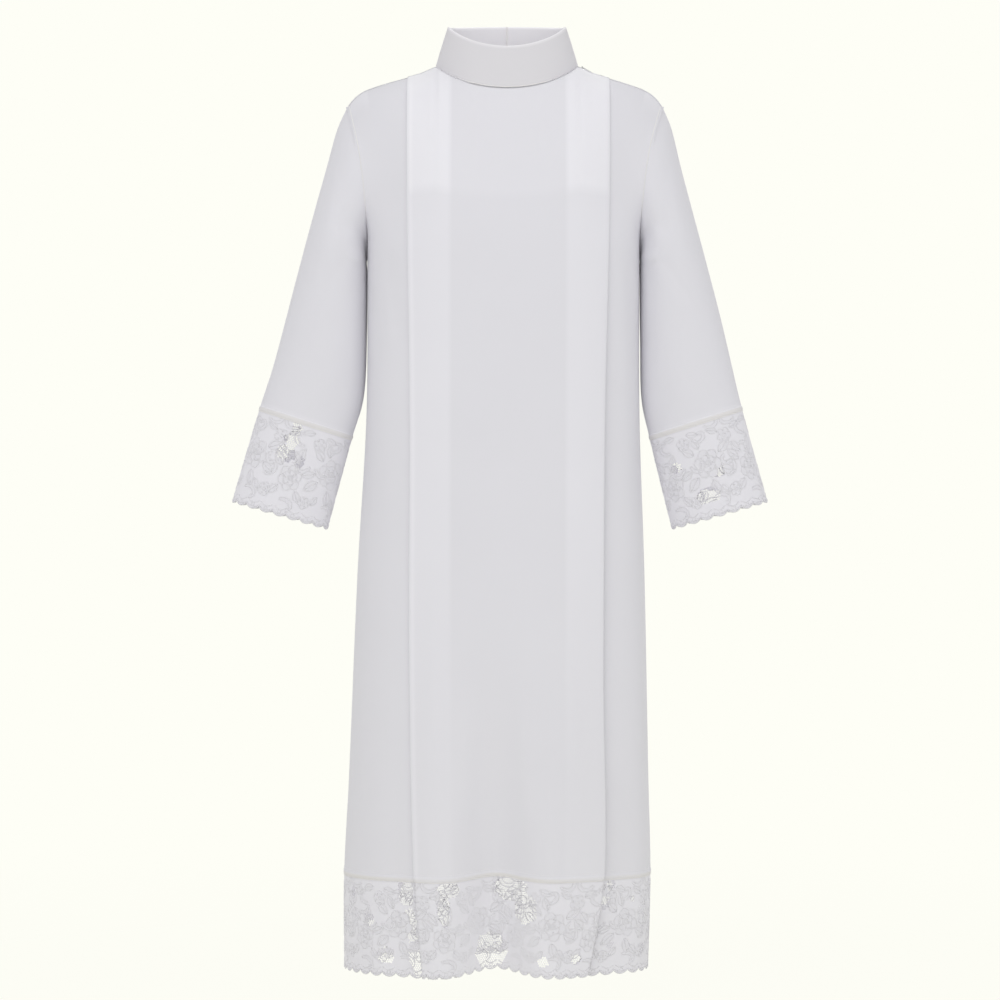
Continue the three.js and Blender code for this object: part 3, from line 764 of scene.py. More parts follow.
class NodeSheet:
    """The nodes of one material."""

    def __init__(self, name: str) -> None:
        """Starts a material with its shader and output.

        Args:
            name: the material's name.
        """
        self.material = bpy.data.materials.new(name)
        self.material.use_nodes = True
        self.tree = self.material.node_tree
        self.shader = self.tree.nodes["Principled BSDF"]
        self.place = self.node("ShaderNodeTexCoord").outputs["Object"]

    def node(self, kind: str, **settings: object) -> bpy.types.Node:
        """Adds a node, and sets the properties or inputs that the settings name.

        Args:
            kind: the node's type.
            **settings: values by the name of a property or input.

        Returns:
            The node.
        """
        node = self.tree.nodes.new(kind)
        for name, value in settings.items():
            if hasattr(node, name):
                setattr(node, name, value)
            else:
                node.inputs[name].default_value = value
        return node

    def constants(self, **values: object) -> None:
        """Sets constants on the shader's own sockets, with _ for a space in their names."""
        for name, value in values.items():
            self.shader.inputs[name.replace("_", " ")].default_value = value

    def link(self, source: Socket, target: Socket) -> None:
        """Joins two sockets."""
        self.tree.links.new(source, target)

    def feed(self, sockets: Iterable[Socket], values: Iterable[object]) -> None:
        """Gives each socket its value, or joins it to the socket given instead.

        Args:
            sockets: the inputs to set.
            values: a value or an output for each.
        """
        for socket, value in zip(sockets, values):
            if isinstance(value, Socket):
                self.link(value, socket)
            else:
                socket.default_value = value

    def math(self, kind: str, a: object, b: object = 0.0) -> Socket:
        """A math node on two values or sockets.

        Args:
            kind: what it works out.
            a: the first value or output.
            b: the second one.

        Returns:
            Its output.
        """
        node = self.node("ShaderNodeMath", operation=kind)
        self.feed(node.inputs, (a, b))
        return node.outputs[0]

    def parts(self) -> tuple[Socket, Socket]:
        """The places along and down the cloth, from its own UV map.

        Returns:
            The outputs for along and for down.
        """
        split = self.node("ShaderNodeSeparateXYZ")
        self.link(self.node("ShaderNodeUVMap", uv_map=UV_NAME).outputs[0], split.inputs[0])
        return split.outputs[0], split.outputs[1]

    def wave(self, place: Socket, length: float) -> Socket:
        """A sine whose waves are so many millimetres long."""
        return self.math("SINE", self.math("MULTIPLY", place, 2 * math.pi / (length * MM)))

    def noise(self, scale: float, detail: float) -> Socket:
        """A noise over the object's own places.

        Args:
            scale: how fine it is.
            detail: how many finer layers it has.

        Returns:
            Its output.
        """
        node = self.node("ShaderNodeTexNoise", Scale=scale, Detail=detail)
        self.link(self.place, node.inputs["Vector"])
        return node.outputs[0]

    def relief(self, height: Socket, strength: float, depth: float) -> None:
        """Raises the surface by a height, so many millimetres deep.

        Args:
            height: the output that says where it is high.
            strength: how strongly.
            depth: how deep, in millimetres.
        """
        bump = self.node("ShaderNodeBump", Strength=strength, Distance=depth * MM)
        self.link(height, bump.inputs["Height"])
        self.link(bump.outputs[0], self.shader.inputs["Normal"])

    def rough(self, noise: Socket, share: float, least: float) -> None:
        """Makes the roughness its least value and a share of a noise."""
        value = self.math("ADD", self.math("MULTIPLY", noise, share), least)
        self.link(value, self.shader.inputs["Roughness"])

    def let_light_through(self, share: float) -> None:
        """Lets a share of the light scatter through thin cloth."""
        self.constants(
            Subsurface_Weight=share, Subsurface_Radius=(1.0, 1.0, 1.0), Subsurface_Scale=0.4 * MM)

    def paint_glow(self, colour: Sequence[float], strength: float) -> None:
        """Paints a glow on the piece, as emission as strong as the value kept on its points:
        painted light, no lamp.

        Args:
            colour: the painted glow's colour.
            strength: how strong it is where the value is 1.
        """
        self.constants(Emission_Color=rgba(colour))
        # painted glow: emission that stands in for light through the thin cloth
        lit = self.math("MULTIPLY", self.attribute("lit"), strength)
        self.link(lit, self.shader.inputs["Emission Strength"])

    def attribute(self, name: str) -> Socket:
        """A value kept on the mesh's points."""
        return self.node("ShaderNodeAttribute", attribute_name=name).outputs["Fac"]

    def blend(self, f: object, a: object, b: object) -> Socket:
        """A mix of two colours.

        Args:
            f: the share of the second one.
            a: the first colour or output.
            b: the second colour or output.

        Returns:
            Its output.
        """
        node = self.node("ShaderNodeMix", data_type="RGBA")
        self.feed((node.inputs[0], node.inputs[6], node.inputs[7]), (f, a, b))
        return node.outputs[2]


def rgba(colour: Sequence[float], times: float = 1.0) -> tuple[float, ...]:
    """A colour with its alpha, made lighter or darker."""
    return (*(part * times for part in colour), 1.0)


@dataclass(frozen=True)
class ClothFinish:
    """A light woven cloth: fine weave, slight unevenness, paler where it lies in plies, with
    painted highlights, painted shade and a painted glow.
    """

    name: str
    colour: tuple[float, float, float]
    # how much paler the colour gets where plies lie behind it and where a highlight is painted
    layered_and_painted_light: float = 1.19
    # darker, browner colour at seams: partly the seam's own tone, partly painted shade
    seam: tuple[float, float, float] = (0.79, 0.77, 0.755)
    glow: float = 0.3
    # how strong the painted glow is: emission that stands in for light through the thin cloth
    lit: float = 0.18
    thread: float = 0.45
    weave_depth: float = 0.03
    roughness: float = 0.62
    sheen: float = 0.12

    def build(self) -> Material:
        """Makes the material.

        Returns:
            The material.
        """
        sheet = NodeSheet(self.name)
        warp, weft = (sheet.wave(part, self.thread) for part in sheet.parts())
        weave = sheet.math("MULTIPLY", warp, weft)
        slub, cloud = sheet.noise(420.0, 2.0), sheet.noise(7.0, 3.0)
        height = sheet.math("ADD", sheet.math("MULTIPLY", weave, 0.5), slub)
        sheet.relief(height, 0.22, self.weave_depth)
        tone = sheet.blend(cloud, rgba(self.colour, 0.985), rgba(self.colour, 1.015))
        # paler where plies lie behind the cloth, and painted highlights where the light should make
        # it brighter
        layered_and_painted_light = sheet.blend(sheet.attribute("layers"), tone, rgba(self.colour, self.layered_and_painted_light))
        # painted shade: the seam colour darkens the cloth where shade falls at the seams
        shaded = sheet.blend(sheet.attribute("seam"), layered_and_painted_light, rgba(self.seam))
        sheet.link(shaded, sheet.shader.inputs["Base Color"])
        sheet.rough(slub, 0.1, self.roughness - 0.05)
        sheet.constants(Sheen_Weight=self.sheen, Specular_IOR_Level=0.3)
        sheet.let_light_through(self.glow)
        # painted glow where the points ask for it; it is no lamp
        sheet.paint_glow(self.colour, self.lit)
        return sheet.material


@dataclass(frozen=True)
class LaceFinish:
    """Lace yarn: matt twisted threads, a little paler in the open net, with a painted glow on its
    inner faces.
    """

    name: str
    colour: tuple[float, float, float]
    net: float = 1.08
    glow: float = 0.4
    # how strong the painted glow is: emission that stands in for light through the thin lace
    lit: float = 0.18
    yarn: float = 0.8
    yarn_depth: float = 0.06
    roughness: float = 0.7
    sheen: float = 0.1

    def build(self) -> Material:
        """Makes the material.

        Returns:
            The material.
        """
        sheet = NodeSheet(self.name)
        along, down = sheet.parts()
        slant = sheet.math("ADD", along, sheet.math("MULTIPLY", down, 0.6))
        twist = sheet.wave(slant, self.yarn)
        fuzz = sheet.noise(900.0, 2.0)
        height = sheet.math("ADD", sheet.math("MULTIPLY", twist, 0.4), fuzz)
        sheet.relief(height, 0.35, self.yarn_depth)
        worked = sheet.blend(sheet.attribute("net"), rgba(self.colour), rgba(self.colour, self.net))
        sheet.link(worked, sheet.shader.inputs["Base Color"])
        sheet.rough(fuzz, 0.15, self.roughness - 0.08)
        sheet.constants(Sheen_Weight=self.sheen, Specular_IOR_Level=0.3)
        sheet.let_light_through(self.glow)
        # painted glow where the points ask for it; it is no lamp
        sheet.paint_glow(self.colour, self.lit)
        return sheet.material


@dataclass(frozen=True)
class HardFinish:
    """Painted metal or moulded plastic of the zip, with slight wear."""

    name: str
    colour: tuple[float, float, float]
    metallic: float
    roughness: float
    wear: float = 0.12
    wear_depth: float = 0.02

    def build(self) -> Material:
        """Makes the material.

        Returns:
            The material.
        """
        sheet = NodeSheet(self.name)
        rub = sheet.noise(900.0, 4.0)
        tone = sheet.blend(rub, rgba(self.colour, 0.92), rgba(self.colour, 1.04))
        sheet.link(tone, sheet.shader.inputs["Base Color"])
        sheet.rough(rub, self.wear * 2, self.roughness - self.wear)
        sheet.relief(rub, 0.15, self.wear_depth)
        sheet.constants(Metallic=self.metallic)
        return sheet.material


WHITE = (0.79, 0.783, 0.822)
FINISHES = {
    "cloth": ClothFinish("robe_cloth", WHITE),
    # collar: a stronger painted highlight on its rim and painted light on its inner ply
    "collar": ClothFinish("collar_cloth", (0.745, 0.732, 0.755), layered_and_painted_light=1.27),
    "tape": ClothFinish("zip_tape_cloth", (0.83, 0.825, 0.84), thread=0.9, weave_depth=0.08),
    "thread": ClothFinish("sewing_thread", (0.88, 0.87, 0.9), thread=0.3),
    # seam rolls: a browner tint that paints the shade in the seam lines
    "roll": ClothFinish("seam_roll", (0.80, 0.785, 0.775), layered_and_painted_light=1.1),
    "lace": LaceFinish("lace_yarn", (0.8, 0.791, 0.83)),
    "cord": LaceFinish("lace_cord", (0.815, 0.805, 0.84), glow=0.0),
    "metal": HardFinish("slider_metal", (0.78, 0.78, 0.76), 0.5, 0.35),
    "teeth": HardFinish("zip_teeth", (0.78, 0.78, 0.78), 0.0, 0.35),
}
MATERIALS = {key: finish.build() for key, finish in FINISHES.items()}


def in_scene(name: str, data: bpy.types.ID) -> Piece:
    """Puts data into the scene as an object.

    Args:
        name: the object's name.
        data: its mesh, lamp or camera.

    Returns:
        The object.
    """
    made = bpy.data.objects.new(name, data)
    bpy.context.scene.collection.objects.link(made)
    return made


@contextmanager
def reworked(mesh: bpy.types.Mesh) -> Iterator[bmesh.types.BMesh]:
    """Opens a mesh to be changed, and puts the changes back."""
    work = bmesh.new()
    work.from_mesh(mesh)
    yield work
    work.to_mesh(mesh)
    work.free()


def recalculate(made: Piece) -> None:
    """Turns a closed piece's faces outwards."""
    with reworked(made.data) as work:
        bmesh.ops.recalc_face_normals(work, faces=work.faces)


def mesh_object(
    name: str,
    points: Array,
    faces: Sequence[Sequence[int]],
    material: Material,
    uv: Array | None = None,
    values: dict[str, Array] | None = None,
) -> Piece:
    """Makes an object from points in millimetres.

    Args:
        name: the piece's name.
        points: its points, one row each.
        faces: its faces, as numbers of points.
        material: its finish.
        uv: millimetres along and down the cloth for each point.
        values: named values for each point, which the finish reads.

    Returns:
        The object, at the origin.
    """
    mesh = bpy.data.meshes.new(name)
    mesh.from_pydata((points * MM).tolist(), [], [list(f) for f in faces])
    mesh.materials.append(material)
    if uv is not None:
        layer = mesh.uv_layers.new(name=UV_NAME)
        corners = np.zeros(len(mesh.loops), np.int32)
        mesh.loops.foreach_get("vertex_index", corners)
        layer.data.foreach_set("uv", (uv[corners] * MM).astype(np.float32).ravel())
    for key, value in (values or {}).items():
        kept = mesh.attributes.new(key, "FLOAT", "POINT")
        kept.data.foreach_set("value", np.asarray(value, np.float32).ravel())
    mesh.shade_smooth()
    mesh.update()
    return in_scene(name, mesh)


def gathered(
    parts: Iterable[tuple[Array, Iterable[Sequence[int]]]]
) -> tuple[Array, list[tuple[int, ...]]]:
    """The points and faces of several parts as those of one piece.

    Args:
        parts: the points and the faces of each part.

    Returns:
        All points, and all faces with their numbers moved up.
    """
    points, faces, start = [], [], 0
    for part, sides in parts:
        points.append(part)
        faces += [tuple(int(i) + start for i in side) for side in sides]
        start += len(part)
    return np.concatenate(points), faces


def grid_faces(rows: int, columns: int, closed: bool = False) -> Array:
    """Quads of a grid of points, in the order that turns them out.

    Args:
        rows: how many rows it has.
        columns: how many columns.
        closed: whether the last column joins the first.

    Returns:
        Four numbers for each quad.
    """
    across = columns if closed else columns - 1
    r, c = np.meshgrid(np.arange(rows - 1), np.arange(across), indexing="ij")
    right = (c + 1) % columns
    quads = np.stack([r * columns + c, (r + 1) * columns + c, (r + 1) * columns + right,
                      r * columns + right], -1)
    return quads.reshape(-1, 4)


def grid_lengths(points: Array) -> Array:
    """Millimetres along and down a grid of points, for its UV map.

    Args:
        points: the grid.

    Returns:
        Two lengths for each point.
    """
    across = np.linalg.norm(np.diff(points, axis=1), axis=2).mean(axis=0)
    down = np.linalg.norm(np.diff(points, axis=0), axis=2).mean(axis=1)
    grid_v, grid_u = np.meshgrid(running(down), running(across), indexing="ij")
    return np.stack([grid_u, -grid_v], -1).reshape(-1, 2)


def grid_object(
    name: str,
    node: str,
    points: Array,
    material: Material,
    wall: float,
    values: dict[str, Array] | None = None,
    closed: bool = False,
    inner_painted_glow: float = 0.0,
) -> Piece:
    """Makes a cloth shell on a grid of points, with its wall on both sides of it.

    Args:
        name: the piece's name.
        node: the CAD node that it stands for.
        points: the grid.
        material: its finish.
        wall: its thickness.
        values: named values for its points.
        closed: whether it is a tube.
        inner_painted_glow: how strong the glow painted on its inner face is.

    Returns:
        The piece.
    """
    faces = grid_faces(*points.shape[:2], closed)
    made = mesh_object(name, points.reshape(-1, 3), faces, material, grid_lengths(points), values)
    add_wall(made, wall, inner_painted_glow)
    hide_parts(node)
    return made


def add_wall(made: Piece, wall: float, inner_painted_glow: float = 0.0) -> None:
    """Gives a sheet its thickness, half on each side of it.

    Args:
        made: the sheet.
        wall: its thickness in millimetres.
        inner_painted_glow: how strong the glow painted on its inner face is, standing in for light
            through thin cloth.
    """
    shell = made.modifiers.new("wall", "SOLIDIFY")
    shell.thickness = wall * MM
    shell.offset = 0
    shell.use_even_offset = False
    if inner_painted_glow:
        sheet = made.data
        outer = len(sheet.vertices)
        graph = bpy.context.evaluated_depsgraph_get()
        made.data = bpy.data.meshes.new_from_object(
            made.evaluated_get(graph), preserve_all_data_layers=True, depsgraph=graph)
        made.modifiers.clear()
        bpy.data.meshes.remove(sheet)
        inner = np.arange(len(made.data.vertices)) >= outer
        # Painted glow on the inner face: emission standing in for light through the cloth.
        lit = made.data.attributes.new("lit", "FLOAT", "POINT")
        lit.data.foreach_set("value", (inner * inner_painted_glow).astype(np.float32))


def zone_places(counts: Sequence[int]) -> Array:
    """Places through zones that are each cut into that many strips."""
    places = [i + np.arange(n) / n for i, n in enumerate(counts)]
    return np.concatenate([*places, [float(len(counts))]])


@dataclass
class Body:
    """The robe's body: the front with its pleats, the back and the yoke facing."""

    wall: float = 0.8
    strips: tuple[int, ...] = (30, 8, 6, 8, 6, 14, 56, 14, 6, 8, 6, 8, 30)
    back_strips: int = 110
    band_top: float = 1192.0
    band_out: float = 1.0
    front_cut: tuple[float, float] = (0.89, 1.24)
    front_area: float = 0.99
    back_cut: tuple[float, float] = (0.64, 1.24)
    back_area: float = 0.67
    # strength of the painted glow on the inner faces of front and back
    inner_painted_glow: float = 0.5
    facing_cut: tuple[float, float] = (0.31, 0.21)
    facing_area: float = 0.058

    def levels(self) -> Array:
        """Rows down the body, close together at the shoulder and at the band above the lace.

        Returns:
            The levels.
        """
        upper = FORM.armpit * (1 - np.cos(math.pi * np.arange(1, 25) / 24)) / 2
        lower = np.linspace(FORM.armpit, self.band_top - 2, 96)[1:]
        band = np.linspace(self.band_top, FORM.lace, 8)
        return np.concatenate([[0, 0.3, 2.2], upper, lower, band])

    def band(self, level: Array) -> Array:
        """How far the rolled band above the lace stands out."""
        f = np.clip((level - self.band_top) / (FORM.lace - self.band_top), 0, 1)
        return self.band_out * np.sin(math.pi * f) ** 0.5

    def seam(self, x: Array, level: Array) -> Array:
        """How much darker the cloth is painted at the lace seam, at the places x and level: its own
        tone and painted shade.
        """
        # painted shade under the raised band, varying along the seam
        return smooth(FORM.lace - 6, FORM.lace - 3, level) * (0.62 + 0.3 * np.sin(x / 37 + 1))

    def layers(self, x: Array, level: Array) -> Array:
        """How much paler the cloth is painted: where the pleats and the facing lie behind it, with
        painted highlights from above and along the left fold.

        Args:
            x: across the body.
            level: down the body.

        Returns:
            0 for plain cloth, up to 1.
        """
        fold_a, root_a, root_b, fold_b, _ = FORM.pleats.row_at(level)
        pleats = smooth(3, -3, x - root_a) * smooth(-2, 2, x - fold_a)
        pleats = pleats + smooth(-3, 3, x - root_b) * smooth(2, -2, x - fold_b)
        # Partly the plies, partly painted light from above: paler at the top, fading downwards.
        fade = mix(0.27, 0.08, smooth(600, 1050, level))
        yoke = smooth(-2, 2, x - fold_a) * smooth(2, -2, x - fold_b)
        yoke = yoke * smooth(FORM.facing + 3, FORM.facing - 3, level)
        # Painted highlights: a pale strip along the left pleat's fold edge, where the light from
        # the left falls, and paler cloth at the top towards the shoulders.
        strip = 0.3 * np.exp(-(((x - fold_a - 3) / 3.5) ** 2))
        strip = strip + 0.35 * smooth(45, 0, level) * smooth(100, 130, np.abs(x - FORM.neck_x))
        return np.clip(pleats * fade + strip + yoke * mix(0.12, 0.33, pleats), 0, 1)

    def front(self) -> Piece:
        """Makes the front, folded through its two pleats.

        Returns:
            The piece.
        """
        panel = FrontPanel()
        q, level = np.meshgrid(zone_places(self.strips), self.levels())
        x, layer = panel.line(q, level)
        outer = panel.shown(q)
        points = panel.at(q, level, self.band(level) * np.where(outer, 1.0, 0.3))
        values = {"layers": self.layers(x, level) * (layer > -0.4), "seam": self.seam(x, level)}
        return grid_object("front_cloth", "front", points, MATERIALS["cloth"], self.wall, values,
                           inner_painted_glow=self.inner_painted_glow)

    def back(self) -> Piece:
        """Makes the back.

        Returns:
            The piece.
        """
        f, level = np.meshgrid(np.linspace(0, 1, self.back_strips + 1), self.levels())
        points = BackPanel().at(f, level, self.band(level))
        # Painted highlight: the back is paler at its top, towards the shoulders.
        values = {"layers": 0.25 * smooth(70, 40, level), "seam": self.seam(points[..., 0], level)}
        return grid_object("back_cloth", "back", points, MATERIALS["cloth"], self.wall, values,
                           inner_painted_glow=self.inner_painted_glow)

    def facing(self) -> Piece:
        """Makes the yoke facing, which lies behind the pleats.

        Returns:
            The piece.
        """
        panel = FrontPanel()
        q, level = np.meshgrid(np.linspace(5, 8, 61), np.linspace(10, FORM.facing, 24))
        x, _ = panel.line(q, level)
        inside = smooth(0, 30, x - FORM.pleats.at("root_a", level))
        inside = inside * smooth(0, 30, FORM.pleats.at("root_b", level) - x)
        offset = -mix(3.6 * FORM.pitch, FORM.pitch, inside)
        points = FORM.point(Face.FRONT, x, level, offset + FORM.creases(Face.FRONT, x, level))
        return grid_object("yoke_facing", "front_facing", points, MATERIALS["cloth"], self.wall)

    def allowances(self) -> Piece:
        """Makes the seam allowances inside the side and shoulder seams.

        Returns:
            The piece.
        """
        strips = []
        inside = 1.3
        for hand in Hand:
            level = np.linspace(FORM.armpit + 8, FORM.hem - 8, 60)
            middle, half = FORM.width(level)
            x = middle + hand.value * (half - inside)
            strips.append(allowance(x, -level, 5.0, 0.0))
            corner = FORM.neck_x + hand.value * (FORM.foot_half + 2)
            start = FORM.zip_end + 1 if hand is Hand.LEFT else corner
            middle, half = FORM.width(0)
            x = np.linspace(start, middle + hand.value * (half - 1), 24)
            strips.append(allowance(x, FORM.shoulder_z(x) - inside, 6.0, 0.12))
        return joined_strips("seam_allowances", strips)


def allowance(x: Array, z: Array, half: float, droop: float) -> Array:
    """A strip of three rows behind a seam, whose edges droop by a share of its half width.

    Args:
        x: across the body, along the seam.
        z: height, along the seam.
        half: half the strip's width.
        droop: how much its edges hang down.

    Returns:
        A grid of points.
    """
    rows = [np.stack([x, np.full_like(x, y), z - abs(y) * droop], -1)
            for y in (-half, 0.0, half)]
    return np.stack(rows, axis=1)


def joined_strips(name: str, strips: Sequence[Array], wall: float = 0.5) -> Piece:
    """Makes one piece of cloth from several grids of points.

    Args:
        name: the piece's name.
        strips: the grids.
        wall: its thickness.

    Returns:
        The piece.
    """
    points, faces = gathered((s.reshape(-1, 3), grid_faces(*s.shape[:2])) for s in strips)
    uv = np.concatenate([grid_lengths(strip) for strip in strips])
    made = mesh_object(name, points, faces, MATERIALS["cloth"], uv)
    add_wall(made, wall)
    return made


@dataclass
class Sleeve:
    """A set-in sleeve, with the allowance of its armhole seam."""

    hand: Hand
    wall: float = 0.8
    around: int = 112
    band_rows: float = 0.07
    band_out: float = 1.0
    cut: tuple[float, float] = (0.42, 0.48)
    area: float = 0.138

    @property
    def side(self) -> str:
        """The wearer's side as a word."""
        return self.hand.name.lower()

    def cloth(self) -> Piece:
        """Makes the sleeve down to the lace.

        Returns:
            The piece.
        """
        form = SleeveForm(self.hand)
        first = form.cuff_row - self.band_rows
        rows = np.concatenate([np.linspace(0, 3.5, 36), np.linspace(3.5, first - 0.01, 44)[1:],
                               np.linspace(first, form.cuff_row, 8)])
        f, row = np.meshgrid(np.arange(self.around) / self.around, rows)
        band = np.clip((row - first) / self.band_rows, 0, 1)
        points = form.at(f, row, self.band_out * np.sin(math.pi * band) ** 0.5)
        # a thin paler line along the top of the band above the cuff lace, and a darker, browner
        # tone from there down
        line = 0.6 * np.exp(-(((row - first) / 0.009) ** 2))
        values = {"layers": line, "seam": 0.7 * smooth(first + 0.004, first + 0.02, row)}
        node = f"sleeve_{self.side}"
        return grid_object(f"{node}_cloth", node, points, MATERIALS["cloth"], self.wall, values,
                           closed=True)

    def allowance(self) -> Piece:
        """Makes the seam allowance inside the armhole.

        Returns:
            The piece.
        """
        form = SleeveForm(self.hand)
        t = np.linspace(0, 1, 81)
        edge = form.armhole(t)
        middle = edge[:-1].mean(axis=0)
        inner = middle + (edge - middle) * 0.975
        reach = np.array([self.hand.value, 0.0, 0.0])
        rows = [inner - reach * 6, inner, inner + reach * 5]
        return joined_strips(f"armhole_allowance_{self.side}", [np.stack(rows)])


@dataclass
class Motif:
    """One worked part of the lace: a closed outline, and the cords drawn on it."""

    outline: Array
    cords: list[Array]
    filled: bool = False


@dataclass
class LaceDesign:
    """A repeat of flower lace: roses, small flowers, leaves and scrolls over a scalloped edge."""

    width: float = 132.0
    depth: float = 140.0
    scallops: int = 6
    scallop_depth: float = 7.0

    @staticmethod
    def blade(length: float, half: float, lean: float, round_off: float) -> Array:
        """The outline of a leaf or petal. A high lean moves its widest part to its end.

        Args:
            length: its length.
            half: half its width.
            lean: where it is widest.
            round_off: how blunt its ends are.

        Returns:
            The outline, from its foot at the origin.
        """
        a = np.linspace(0, 1, 9)
        b = half * np.sin(math.pi * a**lean) ** round_off
        side, other = (np.stack([a * length, b * hand], 1) for hand in (1, -1))
        return np.concatenate([side, other[-2:0:-1]])

    def leaf(self, x: float, y: float, heading: float, length: float, half: float) -> Motif:
        """A pointed leaf with its midrib, from its foot at (x, y).

        Args:
            x: where its foot is along the repeat.
            y: where it is down the repeat.
            heading: which way it points.
            length: its length.
            half: half its width.

        Returns:
            The leaf.
        """
        outline = self.blade(length, half, 0.85, 0.9)
        a = np.linspace(0, 1, 9)[1:-1]
        rib = np.stack([a * length, 0.1 * half * np.sin(a * 5)], 1)
        around = np.concatenate([outline, outline[:1]])
        return self.placed(outline, [around, rib], x, y, heading)

    def petal(self, x: float, y: float, heading: float, length: float, half: float) -> Motif:
        """A broad petal, open at its foot.

        Args:
            x: where its foot is along the repeat.
            y: where it is down the repeat.
            heading: which way it points.
            length: its length.
            half: half its width.

        Returns:
            The petal.
        """
        outline = self.blade(length, half, 1.35, 0.62)
        rim = np.roll(outline, -3, axis=0)[:-5]
        return self.placed(outline, [rim], x, y, heading)

    def scroll(
        self, x: float, y: float, heading: float, length: float, bend: float, curl: float
    ) -> Motif:
        """A scroll that curls up towards its end, with a bud there.

        Args:
            x: where its foot is along the repeat.
            y: where it is down the repeat.
            heading: which way it points.
            length: its length.
            bend: how far it turns evenly.
            curl: how far it turns more towards its end.

        Returns:
            The scroll.
        """
        steps = np.linspace(0, 1, 22)
        turn = heading + bend * steps + curl * steps**3
        run = np.stack([np.cos(turn), np.sin(turn)], 1) * length / 21
        line = np.cumsum(run, axis=0)
        side = np.stack([-np.sin(turn), np.cos(turn)], 1)
        half = 1.2 + 1.6 * np.sin(math.pi * steps) + 1.6 * smooth(0.85, 1, steps)
        left, right = line + side * half[:, None], line - side * half[:, None]
        outline = np.concatenate([left, right[::-1]])
        return self.placed(outline, [left, right], x, y, 0.0)

    @staticmethod
    def placed(outline: Array, cords: list[Array], x: float, y: float, heading: float) -> Motif:
        """A motif turned to its heading and moved to its foot.

        Args:
            outline: its outline at the origin.
            cords: the lines drawn on it.
            x: where its foot is along the repeat.
            y: where it is down the repeat.
            heading: which way it points.

        Returns:
            The motif.
        """
        c, s = math.cos(heading), math.sin(heading)
        turn, place = np.array([[c, s], [-s, c]]), np.array([x, y])
        return Motif(outline @ turn + place, [c @ turn + place for c in cords])

    def flower(self, x: float, y: float, radius: float, petals: int, turn: float) -> list[Motif]:
        """A flower of one ring of petals round an eye.

        Args:
            x: where its middle is along the repeat.
            y: where it is down the repeat.
            radius: its radius.
            petals: how many.
            turn: where the first one points.

        Returns:
            Its petals and its eye.
        """
        step, half = 2 * math.pi / petals, radius * 2.3 / petals
        made = [self.petal(x, y, turn + i * step, radius, half) for i in range(petals)]
        angle = np.linspace(0, 2 * math.pi, 10)
        eye = np.stack([x + 0.24 * radius * np.cos(angle), y + 0.24 * radius * np.sin(angle)], 1)
        return [*made, Motif(eye[:-1], [eye])]

    def rose(self, x: float, y: float, radius: float, turn: float) -> list[Motif]:
        """A rose: an outer and an inner ring of petals, and a coiled heart.

        Args:
            x: where its middle is along the repeat.
            y: where it is down the repeat.
            radius: its radius.
            turn: where its first petal points.

        Returns:
            Its petals and its heart.
        """
        made = self.flower(x, y, radius, 6, turn)[:-1]
        made += self.flower(x, y, radius * 0.6, 5, turn + 0.5)[:-1]
        for petal in made:
            petal.filled = True
        angle = np.linspace(0, 4.2 * math.pi, 26)
        reach = radius * np.linspace(0.05, 0.26, 26)
        coil = np.stack([x + reach * np.cos(angle), y + reach * np.sin(angle)], 1)
        return [*made, Motif(coil[-11:], [coil])]

    def motifs(self) -> list[Motif]:
        """All worked parts of one repeat, from its top left corner.

        Returns:
            The parts.
        """
        made = self.rose(33, 64, 22, 0.2) + self.rose(101, 84, 19, 0.7)
        made += self.flower(70, 30, 12, 5, 0.3) + self.flower(66, 108, 10, 5, 0.0)
        made += self.flower(2, 26, 11, 5, 0.9) + self.flower(132, 112, 9, 5, 0.4)
        leaves = (
            (54, 52, -0.5, 26, 6.5), (52, 74, 0.5, 24, 6.0), (14, 48, -2.4, 22, 6.0),
            (14, 80, 2.5, 25, 6.5), (34, 88, 1.3, 22, 6.0), (24, 40, -1.9, 20, 5.5),
            (84, 70, -2.3, 24, 6.0), (104, 62, -1.2, 26, 6.5), (118, 76, -0.3, 22, 5.5),
            (86, 98, 2.4, 20, 5.5), (114, 100, 1.0, 18, 5.0), (78, 44, 0.9, 22, 5.5),
            (60, 22, -2.7, 20, 5.0), (82, 22, -0.4, 20, 5.0), (10, 12, 0.3, 20, 5.0),
            (122, 10, 3.0, 20, 5.0), (44, 98, 0.9, 18, 5.0), (20, 100, 2.2, 16, 4.5),
        )
        made += [self.leaf(*row) for row in leaves]
        scrolls = (
            (40, 4, 0.9, 44, -2.6, -2.4), (96, 4, 2.2, 46, 2.4, 2.6),
            (20, 30, 0.1, 34, -1.6, -2.8), (112, 34, 2.9, 36, 2.0, 2.2),
            (56, 86, 0.2, 38, -1.9, -2.4), (128, 60, 1.9, 40, 2.2, 2.4),
            (76, 62, 2.0, 34, 2.2, 2.2), (4, 60, 1.2, 36, -2.0, -2.2),
            (88, 52, -0.6, 30, 1.8, 2.4), (30, 112, -0.4, 34, 1.2, 2.6),
            (92, 116, -0.3, 34, 1.0, 2.6),
        )
        made += [self.scroll(*row) for row in scrolls]
        return made

    def edge(self, share: Array) -> Array:
        """How far down the scalloped edge is, at a share of the way through a scallop."""
        low = self.depth - self.scallop_depth
        return low + self.scallop_depth * np.sin(math.pi * np.clip(share, 0, 1)) ** 0.6

